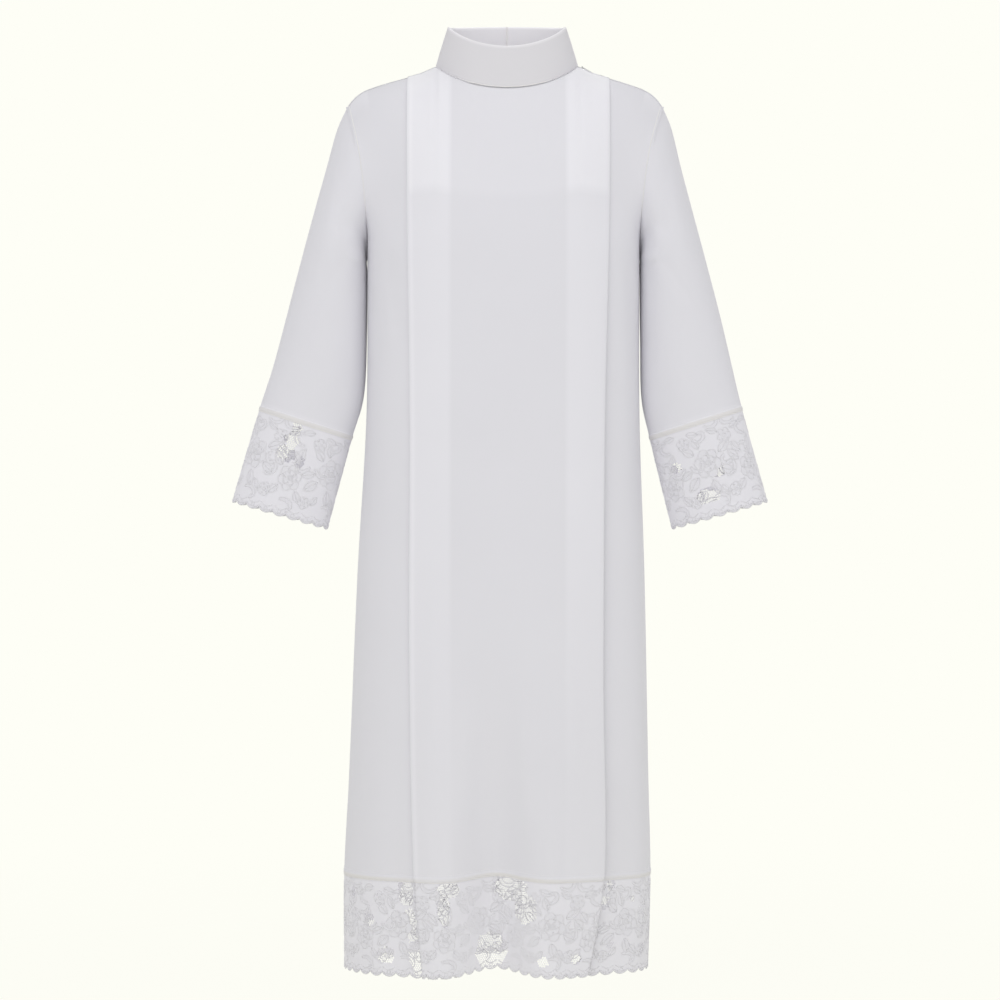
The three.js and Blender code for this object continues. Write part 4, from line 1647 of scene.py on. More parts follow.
    def worked(self, x: Array, y: Array) -> tuple[Array, Array]:
        """Which places lie on a flower or leaf, and which stay closed in open net.

        Args:
            x: along the repeat.
            y: down the repeat.

        Returns:
            Yes or no for each, twice.
        """
        share = (x * self.scallops / self.width) % 1.0
        closed = (y > self.edge(share) - 2.5) | (y < 2.0)
        inside = closed.copy()
        for motif in self.motifs():
            for shift in (-self.width, 0.0, self.width):
                found = within(motif.outline + np.array([shift, 0.0]), x, y)
                inside |= found
                if motif.filled:
                    closed |= found
        return inside, closed


def within(outline: Array, x: Array, y: Array) -> Array:
    """Whether places lie inside a closed outline.

    Args:
        outline: its corners in order.
        x: places in the first direction.
        y: places in the second one.

    Returns:
        Yes or no for each.
    """
    low, high = outline.min(axis=0), outline.max(axis=0)
    near = (x >= low[0]) & (x <= high[0]) & (y >= low[1]) & (y <= high[1])
    found = np.zeros(x.shape, bool)
    if not near.any():
        return found
    px, py = x[near], y[near]
    inside = np.zeros(px.shape, bool)
    for (ax, ay), (bx, by) in zip(outline, np.roll(outline, -1, axis=0)):
        if ay == by:
            continue
        crosses = (ay > py) != (by > py)
        inside ^= crosses & (px < (bx - ax) * (py - ay) / (by - ay) + ax)
    found[near] = inside
    return found


class Repeater:
    """Geometry Nodes that put a small shape on each point of a mesh, and another on marked ones."""

    def __init__(self, name: str) -> None:
        """Builds the tree with its named inputs.

        Args:
            name: the tree's name.
        """
        self.tree = bpy.data.node_groups.new(name, "GeometryNodeTree")
        faces = self.tree.interface
        self.sockets = {}
        for label, kind in (
            ("Geometry", "NodeSocketGeometry"), ("Plain shape", "NodeSocketObject"),
            ("Marked shape", "NodeSocketObject"), ("Size", "NodeSocketFloat"),
            ("Weld distance", "NodeSocketFloat"), ("Material", "NodeSocketMaterial"),
        ):
            self.sockets[label] = faces.new_socket(label, in_out="INPUT", socket_type=kind)
        faces.new_socket("Geometry", in_out="OUTPUT", socket_type="NodeSocketGeometry")
        add, link = self.tree.nodes.new, self.tree.links.new
        source, result = add("NodeGroupInput"), add("NodeGroupOutput")
        marked, turn = self.kept("marked", "BOOLEAN"), self.kept("turn", "FLOAT_VECTOR")
        rotation = add("FunctionNodeEulerToRotation")
        link(turn, rotation.inputs[0])
        opposite = add("FunctionNodeBooleanMath")
        opposite.operation = "NOT"
        link(marked, opposite.inputs[0])
        join = add("GeometryNodeJoinGeometry")
        for label, choice in (("Plain shape", opposite.outputs[0]), ("Marked shape", marked)):
            info, place = add("GeometryNodeObjectInfo"), add("GeometryNodeInstanceOnPoints")
            link(source.outputs[label], info.inputs["Object"])
            link(source.outputs["Geometry"], place.inputs["Points"])
            link(info.outputs["Geometry"], place.inputs["Instance"])
            link(choice, place.inputs["Selection"])
            link(rotation.outputs[0], place.inputs["Rotation"])
            link(source.outputs["Size"], place.inputs["Scale"])
            link(place.outputs[0], join.inputs[0])
        realize, weld = add("GeometryNodeRealizeInstances"), add("GeometryNodeMergeByDistance")
        finish = add("GeometryNodeSetMaterial")
        link(join.outputs[0], realize.inputs[0])
        link(realize.outputs[0], weld.inputs["Geometry"])
        link(source.outputs["Weld distance"], weld.inputs["Distance"])
        link(weld.outputs[0], finish.inputs["Geometry"])
        link(source.outputs["Material"], finish.inputs["Material"])
        link(finish.outputs[0], result.inputs[0])

    def kept(self, name: str, kind: str) -> Socket:
        """A value kept on the points, read by its name.

        Args:
            name: the value's name.
            kind: its data type.

        Returns:
            Its output.
        """
        node = self.tree.nodes.new("GeometryNodeInputNamedAttribute")
        node.data_type = kind
        node.inputs["Name"].default_value = name
        return node.outputs["Attribute"]

    def mesh(
        self,
        places: Array,
        shapes: tuple[Piece, Piece],
        material: Material,
        weld: float = 0.0,
        marked: Array | None = None,
        turns: Array | None = None,
    ) -> bpy.types.Mesh:
        """Repeats the shapes on places.

        Args:
            places: the points, in the unit of the result.
            shapes: the plain shape and the one for marked places.
            material: the finish of the result.
            weld: how near two points are joined.
            marked: which places take the second shape.
            turns: a turn for each place, as Euler angles.

        Returns:
            A plain mesh of all the copies.
        """
        mesh = bpy.data.meshes.new("places")
        mesh.from_pydata(places.tolist(), [], [])
        if marked is not None:
            flags = mesh.attributes.new("marked", "BOOLEAN", "POINT")
            flags.data.foreach_set("value", marked)
        if turns is not None:
            angles = mesh.attributes.new("turn", "FLOAT_VECTOR", "POINT")
            angles.data.foreach_set("vector", turns.astype(np.float32).ravel())
        carrier = in_scene("places", mesh)
        modifier = carrier.modifiers.new("repeat", "NODES")
        modifier.node_group = self.tree
        settings = {"Plain shape": shapes[0], "Marked shape": shapes[1], "Size": 1.0,
                    "Weld distance": weld, "Material": material}
        for label, value in settings.items():
            modifier[self.sockets[label].identifier] = value
        graph = bpy.context.evaluated_depsgraph_get()
        made = bpy.data.meshes.new_from_object(carrier.evaluated_get(graph))
        carrier.modifiers.remove(modifier)
        bpy.data.objects.remove(carrier)
        bpy.data.meshes.remove(mesh)
        return made


def shape_object(
    name: str, points: Sequence[Sequence[float]], faces: Sequence[Sequence[int]]
) -> Piece:
    """A small shape that Geometry Nodes repeat. It isn't shown itself."""
    mesh = bpy.data.meshes.new(name)
    mesh.from_pydata([list(p) for p in points], [], [list(f) for f in faces])
    return bpy.data.objects.new(name, mesh)


REPEATER = Repeater("repeat_on_points")


@dataclass
class Lace:
    """A band of lace: a net with worked flowers, raised cords and a scalloped edge."""

    name: str
    band: Unrolled
    nodes: tuple[str, ...]
    cut: tuple[float, float]
    area: float
    patches: tuple[NetPatch, ...] = ()
    whole_flowers: bool = True
    pitch: float = 3.5
    thread: float = 0.5
    wall: float = 0.5
    cord: float = 0.75
    # strength of the painted glow on the lace's inner faces
    inner_painted_glow: float = 0.8
    edge_cords: tuple[tuple[float, int, int, float], ...] = (
        (1.0, 0, 13, 1.0), (4.0, 2, 11, 0.6), (10.0, 1, 12, 0.7))
    design: LaceDesign = field(default_factory=LaceDesign)

    @property
    def scale(self) -> float:
        """Millimetres of this band for each millimetre of the design."""
        repeats = max(1, round(self.band.length / self.design.width))
        return self.band.length / (repeats * self.design.width)

    @property
    def step_down(self) -> float:
        """From one row of cells to the next, in millimetres."""
        return self.pitch * math.sqrt(3) / 2

    def edge(self, s: Array) -> Array:
        """How far down the scalloped edge is, at millimetres along the band."""
        return self.design.edge((s / self.scale * self.design.scallops / self.design.width) % 1.0)

    def cells(self) -> tuple[Array, Array, Array]:
        """The middles of the lace's cells, which are closed, and which are part of a flower.

        Returns:
            The three of them, for each cell.
        """
        columns = int(self.band.length / self.pitch) + 2
        rows = int(self.design.depth / self.step_down) + 2
        c, r = np.meshgrid(np.arange(columns), np.arange(rows))
        x = (c + 0.5 * (r % 2)) * self.pitch
        y = r * self.step_down
        kept = (y < self.edge(x) + 0.2) & (x < self.band.length + 0.5 * self.pitch)
        x, y = x[kept], y[kept]
        worked, closed = self.design.worked((x / self.scale) % self.design.width, y)
        is_open = np.zeros(x.shape, bool)
        for patch in self.patches:
            is_open |= patch.holds(x, y)
        closed = np.where(is_open, closed & self.whole_flowers, True)
        kept = ~is_open | self.band.shown(x)
        return np.stack([x, y, np.zeros_like(x)], 1)[kept], closed[kept], worked[kept]

    def numbers(self, middles: Array) -> tuple[Array, Array]:
        """The row and the column of the cells with these middles."""
        row = np.rint(middles[:, 1] / self.step_down).astype(int)
        return row, np.rint(middles[:, 0] / self.pitch - 0.5 * (row % 2)).astype(int)

    def ground(self) -> Piece:
        """Makes the net and the worked cloth of the flowers.

        Returns:
            The piece.
        """
        radius = self.pitch / math.sqrt(3)
        outer = [(math.sin(math.pi / 3 * i) * radius, math.cos(math.pi / 3 * i) * radius, 0.0)
                 for i in range(6)]
        inner = 1 - self.thread / self.pitch
        hole = [(x * inner, y * inner, 0.0) for x, y, _ in outer]
        ring = shape_object("net_cell", outer + hole, prism_sides(6))
        plate = shape_object("worked_cell", outer, [tuple(range(6))])
        places, closed, worked = self.cells()
        mesh = REPEATER.mesh(places, (ring, plate), MATERIALS["lace"], 0.05, closed)
        flat = np.zeros(len(mesh.vertices) * 3, np.float32)
        mesh.vertices.foreach_get("co", flat)
        flat = flat.reshape(-1, 3).astype(float)
        s = np.clip(flat[:, 0], 0.3, self.band.length - 0.3)
        down = np.clip(flat[:, 1], 0.0, self.edge(s))
        points = self.band.at(s, down + FORM.seam_gap)
        faces = [tuple(p.vertices) for p in mesh.polygons]
        net = np.ones(len(flat))
        rows, columns = self.numbers(places)
        flowers = np.zeros((rows.max() + 1, columns.max() + 1), bool)
        flowers[rows, columns] = worked
        plates = np.array([face for face in faces if len(face) == 6])
        on_flower = flowers[self.numbers(flat[plates].mean(axis=1))]
        for tone, chosen in ((0.45, ~on_flower), (0.0, on_flower)):
            net[plates[chosen]] = tone
        uv = np.stack([s, -down], 1)
        made = mesh_object(self.name, points, faces, MATERIALS["lace"], uv, {"net": net})
        tidy_faces(made)
        add_wall(made, self.wall, self.inner_painted_glow)
        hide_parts(*self.nodes)
        return made

    def lines(self) -> list[tuple[Array, float]]:
        """The cords in the band's own millimetres, each with its thickness.

        Returns:
            A line and a thickness for each cord.
        """
        found = []
        repeats = round(self.band.length / (self.scale * self.design.width))
        for i in range(-1, repeats + 1):
            for motif in self.design.motifs():
                for line in motif.cords:
                    x = (line[:, 0] + i * self.design.width) * self.scale
                    found.append((np.stack([x, line[:, 1]], 1), self.cord))
        pitch = self.design.width * self.scale / self.design.scallops
        share, angle = np.linspace(0, 1, 13), np.linspace(0, 2 * math.pi, 11)
        edge = self.design.edge(share)
        eyelet = 2.4 * np.stack([np.cos(angle), np.sin(angle)], 1)
        for i in range(repeats * self.design.scallops):
            for lift, first, last, thick in self.edge_cords:
                arc = np.stack([(i + share) * pitch, edge - lift], 1)
                found.append((arc[first:last], thick))
            middle = np.array([(i + 0.5) * pitch, self.design.depth - self.design.scallop_depth])
            found.append((middle + eyelet, 0.6))
        return found

    def cords(self) -> Piece:
        """Makes the raised cords as one piece.

        Returns:
            The piece.
        """
        ridges, margin = [], 0.5
        for line, thick in self.lines():
            s, down = line.T
            inside = (s > margin) & (s < self.band.length - margin) & (down > margin)
            inside &= (down < self.edge(s) - margin) & self.band.shown(s)
            ridges += [self.ridge(run, thick) for run in runs(line, inside)]
        flat, faces = gathered(ridges)
        s, down, lift = flat.T
        points = self.band.at(s, down + FORM.seam_gap, lift)
        made = mesh_object(f"{self.name}_cords", points, faces, MATERIALS["cord"],
                           np.stack([s, -down], 1))
        recalculate(made)
        return made

    def ridge(self, line: Array, thick: float) -> tuple[Array, list[tuple[int, ...]]]:
        """A cord with three sides along a line in the band's own millimetres.

        Args:
            line: its middle.
            thick: half its width.

        Returns:
            Its points and its faces.
        """
        run = unit(np.gradient(line, axis=0))
        side = np.stack([-run[:, 1], run[:, 0]], 1) * thick
        foot, top = self.wall / 2 - 0.05, self.wall / 2 + 0.5 * thick
        rows = [np.insert(line + side * share, 2, lift, axis=1)
                for share, lift in ((1, foot), (0, top), (-1, foot))]
        points = np.stack(rows, 1).reshape(-1, 3)
        faces = [(0, 2, 1)]
        for i in range(len(line) - 1):
            a, b = 3 * i, 3 * i + 3
            faces += [(a, a + 1, b + 1, b), (a + 1, a + 2, b + 2, b + 1), (a + 2, a, b, b + 2)]
        last = 3 * (len(line) - 1)
        return points, [*faces, (last, last + 1, last + 2)]

    def build(self) -> None:
        """Makes the ground and the cords, and puts them on their body."""
        ground, cords = self.ground(), self.cords()
        dressed(Slot.LACE, ground, cords)


def prism_sides(count: int) -> list[tuple[int, int, int, int]]:
    """The quads between one ring of points and the next."""
    return [(i, (i + 1) % count, count + (i + 1) % count, count + i) for i in range(count)]


def tidy_faces(made: Piece) -> None:
    """Takes away faces that shrank to nothing at a straightened edge.

    Args:
        made: the piece.
    """
    with reworked(made.data) as work:
        bmesh.ops.dissolve_degenerate(work, dist=0.00005, edges=work.edges)
        loose = [v for v in work.verts if not v.link_faces]
        bmesh.ops.delete(work, geom=loose, context="VERTS")


def dressed(slot: Slot, *pieces: Piece, body: str = GARMENT) -> None:
    """Puts pieces on their body.

    Args:
        slot: the slot; it is not used.
        *pieces: the pieces.
        body: the body that they ride on.
    """
    for made in pieces:
        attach(made, body)
        LOG.info("%s rides on %s", made.name, body)


@dataclass
class Collar:
    """The stand collar: a doubled band with a rolled rim, open at the zip, seamed at the back."""

    wall: float = 3.0
    tall: float = 62.0
    around: float = 600.0
    cuts: dict[str, tuple[float, float]] = field(default_factory=lambda: {
        "collar_front": (0.00005, 0.7484), "collar_back": (0.7516, 0.99995)})

    def profile(self) -> tuple[Array, Array]:
        """The section of the band: heights and offsets, down the outside and up the inside.

        Returns:
            A height and an offset for each point.
        """
        half, foot, rows = self.wall / 2, -0.005, 16
        turn = np.linspace(0, math.pi, 9)
        top = 1 - half / self.tall
        rim_h = top + half / self.tall * np.sin(turn)
        outer = np.linspace(top, foot, rows)
        foot_h = foot - 0.02 * np.sin(turn[1:-1])
        foot_o = half * np.cos(turn[1:-1])
        side = np.full(rows - 1, half)
        heights = np.concatenate([rim_h, outer[1:], foot_h, outer[:0:-1]])
        offsets = np.concatenate([-half * np.cos(turn), side, foot_o, -side])
        belly = 0.35 * np.sin(math.pi * np.clip(heights, 0, 1)) * np.sign(offsets)
        return heights, offsets + belly

    def build(self) -> list[Piece]:
        """Makes both lengths of the band.

        Returns:
            The two pieces.
        """
        made = []
        heights, offsets = self.profile()
        for node, (start, end) in self.cuts.items():
            count = round((end - start) * 200)
            f = np.linspace(start, end, count + 1)
            grid_h, grid_f = np.meshgrid(heights, f, indexing="ij")
            grid_o = np.broadcast_to(offsets[:, None], grid_h.shape)
            ends = 1 - 0.55 * np.exp(-np.minimum(f - start, end - f) * 500)
            points = CollarForm().at(grid_f, grid_h, grid_o * ends)
            faces = grid_faces(len(heights), count + 1).tolist()
            last = (len(heights) - 1) * (count + 1)
            faces += [[last + i, i, i + 1, last + i + 1] for i in range(count)]
            first_end = [r * (count + 1) for r in range(len(heights))]
            faces += [first_end[::-1], [i + count for i in first_end]]
            flat = points.reshape(-1, 3)
            uv = np.stack([grid_f * self.around, grid_h * self.tall], -1).reshape(-1, 2)
            # Painted highlight along the rolled rim; painted light on the inner ply to lift the
            # shade inside the collar, which also gets a painted glow.
            rim = np.maximum(smooth(0.965, 0.985, grid_h), 0.2 * (grid_o < 0))
            at_back = np.exp(-np.minimum(grid_f, 1 - grid_f) * 900)
            band = mesh_object(f"{node}_band", flat, faces, MATERIALS["collar"], uv,
                               {"layers": rim, "seam": 0.8 * at_back, "lit": 0.88 * (grid_o < 0)})
            recalculate(band)
            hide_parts(node)
            made.append(band)
        return made


@dataclass
class ShoulderZip:
    """The zip along the wearer's left shoulder: tape, teeth, slider and pull tab."""

    start: float = 113.5
    end: float = 208.0
    tape_half: float = 11.0
    tape_z: float = -5.6
    teeth_z: float = -3.2
    teeth_start: float = 122.8
    tooth_step: float = 1.9
    flat: tuple[float, float] = (0.1, 0.022)

    def tape(self) -> Piece:
        """Makes the woven tape under the teeth.

        Returns:
            The piece.
        """
        x, y = np.meshgrid(np.linspace(self.start, self.end, 60),
                           np.linspace(self.tape_half, -self.tape_half, 13), indexing="ij")
        ripple = 0.15 * np.sin(x / 6) * (np.abs(y) > 4)
        points = np.stack([x, y, FORM.shoulder_z(x) + self.tape_z + ripple], -1)
        return grid_object("zip_tape_cloth", "zip_tape", points, MATERIALS["tape"], 0.7)

    def teeth(self) -> Piece:
        """Makes the closed row of teeth.

        Returns:
            The piece.
        """
        section = [(-0.55, -1.0), (0.55, -1.0), (0.7, 0.0), (0.45, 0.9), (-0.45, 0.9), (-0.7, 0.0)]
        points = [(a * MM, y * MM, b * MM) for y in (-0.6, 2.1) for a, b in section]
        ends = (5, 4, 3, 2, 1, 0), tuple(range(6, 12))
        tooth = shape_object("tooth", points, [*prism_sides(6), *ends])
        x = np.arange(self.teeth_start, self.end - 2, self.tooth_step / 2)
        z = FORM.shoulder_z(x) + self.teeth_z
        slope = np.arctan2(FORM.shoulder_z(x) - FORM.shoulder_z(x + 1), 1.0)
        flip = np.where(np.arange(len(x)) % 2, math.pi, 0.0)
        turns = np.stack([np.zeros_like(x), np.where(flip > 0, -slope, slope), flip], 1)
        mesh = REPEATER.mesh(np.stack([x, 0 * x, z], 1) * MM, (tooth, tooth), MATERIALS["teeth"],
                             turns=turns)
        made = in_scene("zip_teeth_row", mesh)
        recalculate(made)
        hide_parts("zip_chain")
        return made

    def smoothed(self, node: str, name: str, bevel: float) -> Piece:
        """A copy of a hard part with its edges eased.

        Args:
            node: the CAD node that it stands for.
            name: the piece's name.
            bevel: how much its edges are eased, in millimetres.

        Returns:
            The piece.
        """
        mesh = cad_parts[node].data.copy()
        mesh.name = name
        mesh.materials.clear()
        mesh.materials.append(MATERIALS["metal"])
        made = in_scene(name, mesh)
        with reworked(mesh) as work:
            bmesh.ops.remove_doubles(work, verts=work.verts, dist=0.00001)
            bmesh.ops.dissolve_limit(work, angle_limit=0.02, verts=work.verts, edges=work.edges)
            bmesh.ops.recalc_face_normals(work, faces=work.faces)
        eased = made.modifiers.new("eased", "BEVEL")
        eased.width = bevel * MM
        eased.segments = 2
        eased.limit_method = "ANGLE"
        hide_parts(node)
        return made


@dataclass
class Stitches:
    """Rows of machine stitches."""

    length: float = 2.4
    step: float = 3.2
    thick: float = 0.28
    level: float = 1190.0
    lifts: tuple[float, float] = (0.4, 1.4)

    def shape(self) -> Piece:
        """One stitch: a spindle that dips into the cloth at both ends.

        Returns:
            The shape.
        """
        rings = ((-0.5, 0.3, -0.5), (-0.3, 1.0, 0.4), (0.3, 1.0, 0.4), (0.5, 0.3, -0.5))
        points, faces = [], []
        for share, girth, lift in rings:
            for i in range(5):
                angle = 2 * math.pi * i / 5
                points.append((share * self.length * MM, girth * self.thick * math.cos(angle) * MM,
                               (girth * self.thick * math.sin(angle) + lift * self.thick) * MM))
        for r in range(3):
            faces += [tuple(5 * r + i for i in side) for side in prism_sides(5)]
        faces += [(4, 3, 2, 1, 0), (15, 16, 17, 18, 19)]
        return shape_object("stitch", points, faces)

    def rows(self) -> list[tuple[Array, Array]]:
        """Lines of stitches: points on the cloth, and points just outside it.

        Returns:
            Both lines of each row.
        """
        found = []
        for panel, start, end, count in (
            (FrontPanel(), 0.02, 12.98, 3000), (BackPanel(), 0.01, 0.99, 1500)
        ):
            places = np.linspace(start, end, count)
            shown = panel.shown(places)
            both = [runs(panel.at(places, self.level, lift), shown) for lift in self.lifts]
            found += zip(*both)
        f = np.linspace(0, 1, 700)
        for hand in Hand:
            form = SleeveForm(hand)
            found.append(tuple(form.at(f, form.cuff_row - 0.075, lift) for lift in self.lifts))
        x, beside_zip = np.linspace(118, 206, 300), 4.0
        for face in Face:
            found.append(tuple(FORM.point(face, x, beside_zip, lift) for lift in self.lifts))
        return found

    def build(self) -> Piece:
        """Makes every stitch as one piece.

        Returns:
            The piece.
        """
        places, turns = [], []
        for on, out in self.rows():
            lengths = running(np.linalg.norm(np.diff(on, axis=0), axis=1))
            for at in np.arange(self.step, lengths[-1] - self.step, self.step):
                here, ahead, up = (
                    np.array([np.interp(place, lengths, line[:, k]) for k in range(3)])
                    for place, line in ((at, on), (at + 1, on), (at, out)))
                run, away = Vector(ahead - here).normalized(), Vector(up - here).normalized()
                side = away.cross(run).normalized()
                turn = Matrix((run, side, run.cross(side))).transposed().to_euler()
                places.append(here * MM)
                turns.append(list(turn))
        shape = self.shape()
        mesh = REPEATER.mesh(np.array(places), (shape, shape), MATERIALS["thread"],
                             turns=np.array(turns))
        return in_scene("machine_stitches", mesh)


@dataclass
class SeamRolls:
    """Thin rolls of cloth in the seams of neckline, shoulders, armholes and lace, tinted browner to
    paint the shade in those seams.
    """

    radius: float = 0.7
    sides: int = 6
    # strength of the glow painted on the rolls: painted light, no lamp
    light: float = 0.15

    def lines(self) -> list[Array]:
        """The middle lines of the rolls.

        Returns:
            The lines.
        """
        angle = np.radians(np.linspace(92, 448, 320))
        out = np.stack([np.sin(angle), -np.cos(angle), -1.1 * np.ones_like(angle)], -1)
        found = [FORM.ring(FORM.foot, angle) + out * 1.2]
        for start, end in ((FORM.zip_end + 3, 232), (-101, -229)):
            x = np.linspace(start, end, 60)
            found.append(np.stack([x, 0 * x, FORM.shoulder_z(x) - 0.1], -1))
        for hand in Hand:
            form = SleeveForm(hand)
            t = np.linspace(0, 1, 200)
            found.append(form.armhole(t) + np.array([0.3 * hand.value, 0.0, 0.0]))
            found.append(form.at(t, form.cuff_row + 0.002, 0.5))
        for panel, end, count in ((FrontPanel(), 12.99, 900), (BackPanel(), 1, 300)):
            q = np.linspace(0, end, count)
            found += runs(panel.at(q, FORM.lace + FORM.seam_gap / 2, 0.5), panel.shown(q))
        return found

    def tube(self, line: Array) -> tuple[Array, list[tuple[int, ...]]]:
        """A closed tube along a line.

        Args:
            line: its middle.

        Returns:
            Its points and its faces.
        """
        run = unit(np.gradient(line, axis=0))
        side = unit(np.cross(run, np.array([0.13, 0.31, 0.94])))
        up = np.cross(side, run)
        turn = 2 * math.pi * np.arange(self.sides) / self.sides
        reach = side[:, None] * np.cos(turn)[:, None] + up[:, None] * np.sin(turn)[:, None]
        points = (line[:, None] + reach * self.radius).reshape(-1, 3)
        first, last = range(self.sides), range(len(points) - self.sides, len(points))
        return points, [*grid_faces(len(line), self.sides, True), first[::-1], last]

    def build(self) -> Piece:
        """Makes every roll as one piece, with a painted highlight paler towards the shoulders and a
        painted glow.

        Returns:
            The piece.
        """
        points, faces = gathered(self.tube(line) for line in self.lines())
        height = points[:, 2]
        # Painted highlight towards the shoulders, and a painted glow all along.
        values = {"layers": smooth(-150, -60, height), "lit": np.full(height.shape, self.light)}
        uv = np.stack([points[:, 0], height], 1)
        made = mesh_object("seam_rolls", points, faces, MATERIALS["roll"], uv, values)
        recalculate(made)
        return made


@dataclass
class Studio:
    """A pale floor, soft light and the camera."""

    backdrop: tuple[float, float, float] = (0.991, 0.991, 0.922)
    camera_place: tuple[float, float, float] = (-0.006, -5.0, -0.642)
    lens: float = 120.0
    dome: float = 0.675
    floor_z: float = -1.42
    floor_radius: float = 3.2
    floor_sides: int = 96
    floor_glow: float = 0.94
    floor_light: float = 0.72
    fade: tuple[float, float] = (1.5, 3.1)
    lamps: tuple[tuple[str, tuple[float, float, float], float, float], ...] = (
        ("key", (-1.6, -3.6, 1.6), 2.6, 38.0),
        ("fill", (2.6, -3.0, 0.6), 2.6, 19.0),
        ("back", (0.4, 3.4, 1.6), 2.6, 20.0),
    )

    def camera(self) -> None:
        """Makes the camera, far off with a long lens, level with the middle of the robe."""
        data = bpy.data.cameras.new("camera")
        data.lens = self.lens
        data.sensor_width = 36
        data.clip_end = 100
        made = in_scene("camera", data)
        made.location = self.camera_place
        made.rotation_euler = (math.radians(90), 0, 0)
        bpy.context.scene.camera = made

    def world(self) -> None:
        """Makes the even light from all round, and the pale backdrop."""
        world = bpy.data.worlds.new("studio")
        bpy.context.scene.world = world
        world.use_nodes = True
        nodes, links = world.node_tree.nodes, world.node_tree.links
        nodes.clear()
        path = nodes.new("ShaderNodeLightPath")
        light, seen = nodes.new("ShaderNodeBackground"), nodes.new("ShaderNodeBackground")
        light.inputs[0].default_value = (1, 1, 1, 1)
        light.inputs[1].default_value = self.dome
        seen.inputs[0].default_value = (*self.backdrop, 1)
        blend, out = nodes.new("ShaderNodeMixShader"), nodes.new("ShaderNodeOutputWorld")
        links.new(path.outputs["Is Camera Ray"], blend.inputs[0])
        links.new(light.outputs[0], blend.inputs[1])
        links.new(seen.outputs[0], blend.inputs[2])
        links.new(blend.outputs[0], out.inputs[0])
        bpy.context.scene.view_settings.view_transform = "Standard"

    def lights(self) -> None:
        """Makes the large soft lamps: one from the upper left in front, and weaker ones."""
        for name, place, size, power in self.lamps:
            data = bpy.data.lights.new(name, "AREA")
            data.size = size
            data.energy = power
            made = in_scene(name, data)
            made.location = place
            aim = Vector((0, 0, -0.6)) - Vector(place)
            made.rotation_euler = aim.to_track_quat("-Z", "Y").to_euler()
            made.visible_camera = False

    def floor(self) -> None:
        """Makes the pale floor, which fades into the backdrop."""
        angle = np.linspace(0, 2 * math.pi, self.floor_sides, endpoint=False)
        reach = self.floor_radius
        points = [(reach * math.cos(a), reach * math.sin(a), self.floor_z) for a in angle]
        mesh = bpy.data.meshes.new("floor")
        mesh.from_pydata(points, [], [tuple(range(self.floor_sides))])
        sheet = NodeSheet("floor")
        sheet.constants(Base_Color=rgba(self.backdrop, 1 - self.floor_glow), Roughness=0.9,
                        Specular_IOR_Level=0.0, Emission_Color=rgba(self.backdrop))
        seen = sheet.node("ShaderNodeLightPath").outputs["Is Camera Ray"]
        more = sheet.math("MULTIPLY", seen, self.floor_glow - self.floor_light)
        strength = sheet.math("ADD", more, self.floor_light)
        sheet.link(strength, sheet.shader.inputs["Emission Strength"])
        distance = sheet.node("ShaderNodeVectorMath", operation="LENGTH")
        sheet.link(sheet.place, distance.inputs[0])
        fade = sheet.node("ShaderNodeMapRange", interpolation_type="SMOOTHSTEP")
        sheet.feed(fade.inputs[:5], (distance.outputs["Value"], *self.fade, 1.0, 0.0))
        sheet.link(fade.outputs[0], sheet.shader.inputs["Alpha"])
        mesh.materials.append(sheet.material)
        in_scene("floor", mesh)

    def build(self) -> None:
        """Makes the whole studio."""
        self.camera()
        self.world()
        self.lights()
        self.floor()


# Where the net shows open between the flowers: x (or along the cuff), down, half width, height
FRONT_PATCHES = (
    (-140, 16, 13, 20), (-137, 60, 12, 22), (-131, 104, 12, 32), (-78, 12, 18, 12),
    (-86, 40, 10, 24), (10, 16, 30, 18), (30, 42, 20, 22), (-20, 110, 29, 26),
    (-176, 108, 12, 13), (-198, 58, 9, 10),
    (150, 8, 8, 9), (143, 34, 8, 11), (186, 30, 5, 5), (184, 74, 6, 7), (160, 96, 6, 6),
    (112, 112, 9, 7), (60, 116, 10, 7), (-222, 20, 7, 9), (206, 104, 5, 9),
)
BACK_PATCHES = (
    (-148, 50, 16, 24), (-145, 98, 16, 30), (-84, 48, 24, 20), (-91, 80, 15, 26),
    (9, 48, 32, 24), (32, 76, 26, 26), (-25, 122, 32, 16), (-186, 118, 14, 12),
    (-205, 96, 12, 13), (152, 36, 14, 26), (90, 30, 12, 18), (112, 122, 16, 10),
    (196, 66, 12, 22), (176, 100, 12, 14),
)
CUFF_PATCHES = {
    Hand.RIGHT: (
        (86, 11, 8, 14), (83, 32, 13, 10), (80, 52, 15, 13), (104, 60, 6, 9),
        (292, 18, 18, 20), (284, 54, 30, 28), (350, 100, 12, 10),
    ),
    Hand.LEFT: (
        (268, 106, 19, 11), (292, 78, 8, 9), (230, 58, 8, 8),
        (106, 112, 24, 14), (80, 76, 16, 14), (140, 54, 16, 16),
    ),
}


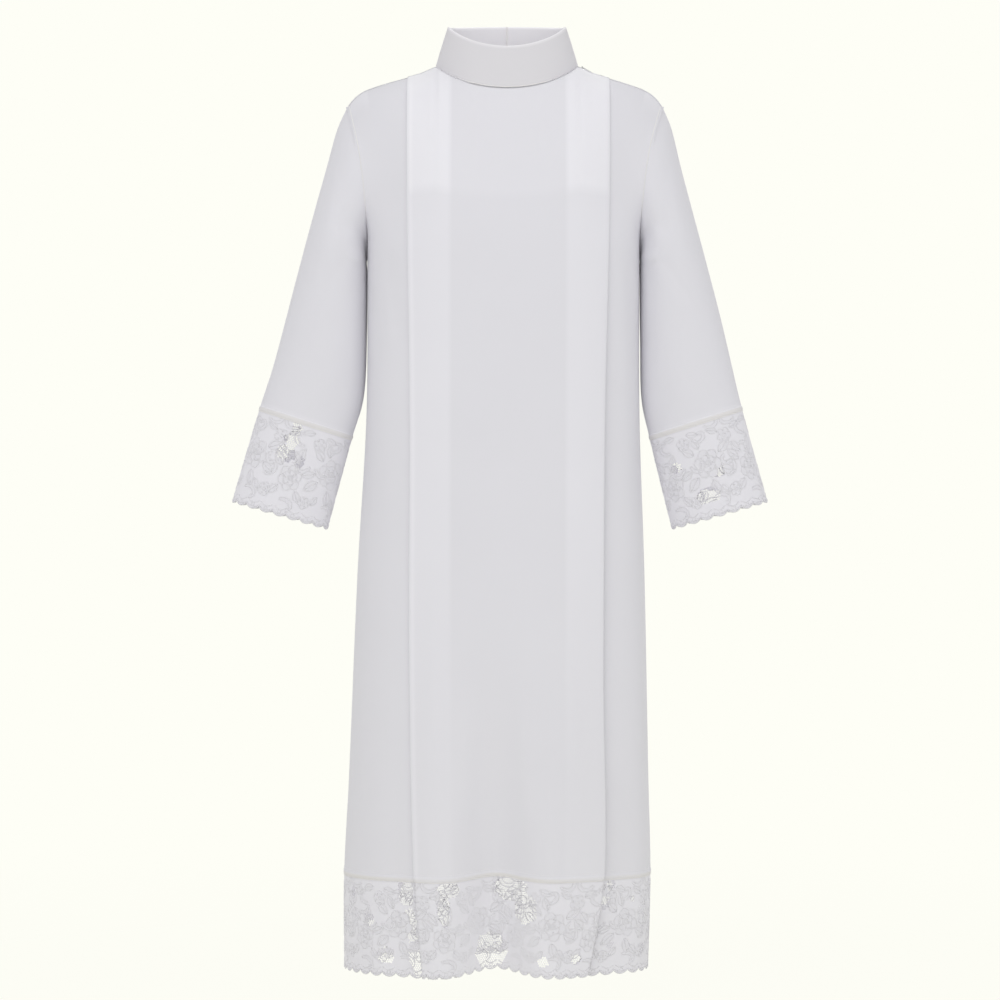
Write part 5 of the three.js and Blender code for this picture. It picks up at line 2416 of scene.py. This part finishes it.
def build_body() -> None:
    """Makes the front, back, facing and the allowances of their seams."""
    body = Body()
    front, back, facing = body.front(), body.back(), body.facing()
    allowances = body.allowances()
    stitches, rolls = Stitches().build(), SeamRolls().build()
    dressed(Slot.CLOTH, front, back, facing, allowances, stitches, rolls)


def build_sleeves() -> None:
    """Makes both sleeves and their lace cuffs."""
    for hand in Hand:
        sleeve = Sleeve(hand)
        cloth, allowance = sleeve.cloth(), sleeve.allowance()
        dressed(Slot.CLOTH, cloth, allowance)
        form = SleeveForm(hand)
        band = Unrolled(form, (0.0, 1.0), form.cuff_row, 1 / 141.0)
        nodes = tuple(f"cuff_lace_{sleeve.side}_{half}" for half in ("front", "back"))
        patches = tuple(NetPatch(*row) for row in CUFF_PATCHES[hand])
        Lace(f"cuff_{sleeve.side}_lace", band, nodes, (0.375, 0.14), 0.0505, patches).build()


def build_hem() -> None:
    """Makes the lace round the hem."""
    front = Unrolled(FrontPanel(), (0.0, 13.0), FORM.lace)
    back = Unrolled(BackPanel(), (0.0, 1.0), FORM.lace)
    Lace("hem_front_lace", front, ("hem_lace_front",), (0.89, 0.14), 0.115,
         front.placed(FRONT_PATCHES)).build()
    Lace("hem_back_lace", back, ("hem_lace_back",), (0.65, 0.14), 0.082,
         back.placed(BACK_PATCHES), False).build()


def build_neck() -> None:
    """Makes the collar and the zip."""
    for made, flat in zip(Collar().build(), ((0.44, 0.062), (0.15, 0.062))):
        dressed(Slot.CLOTH, made)
    zipper = ShoulderZip()
    tape, teeth = zipper.tape(), zipper.teeth()
    dressed(Slot.TAPE, tape)
    dressed(Slot.TEETH, teeth)
    dressed(Slot.METAL, zipper.smoothed("zip_slider", "slider_body", 0.25))
    dressed(Slot.METAL, zipper.smoothed("zip_pull", "pull_tab_plate", 0.18), body=PULL_TAB)


def main() -> None:
    """Builds the alb and its studio."""
    logging.basicConfig(level=logging.INFO, format="%(message)s")
    Studio().build()
    build_body()
    build_sleeves()
    build_hem()
    build_neck()


if __name__ == "__main__":
    main()
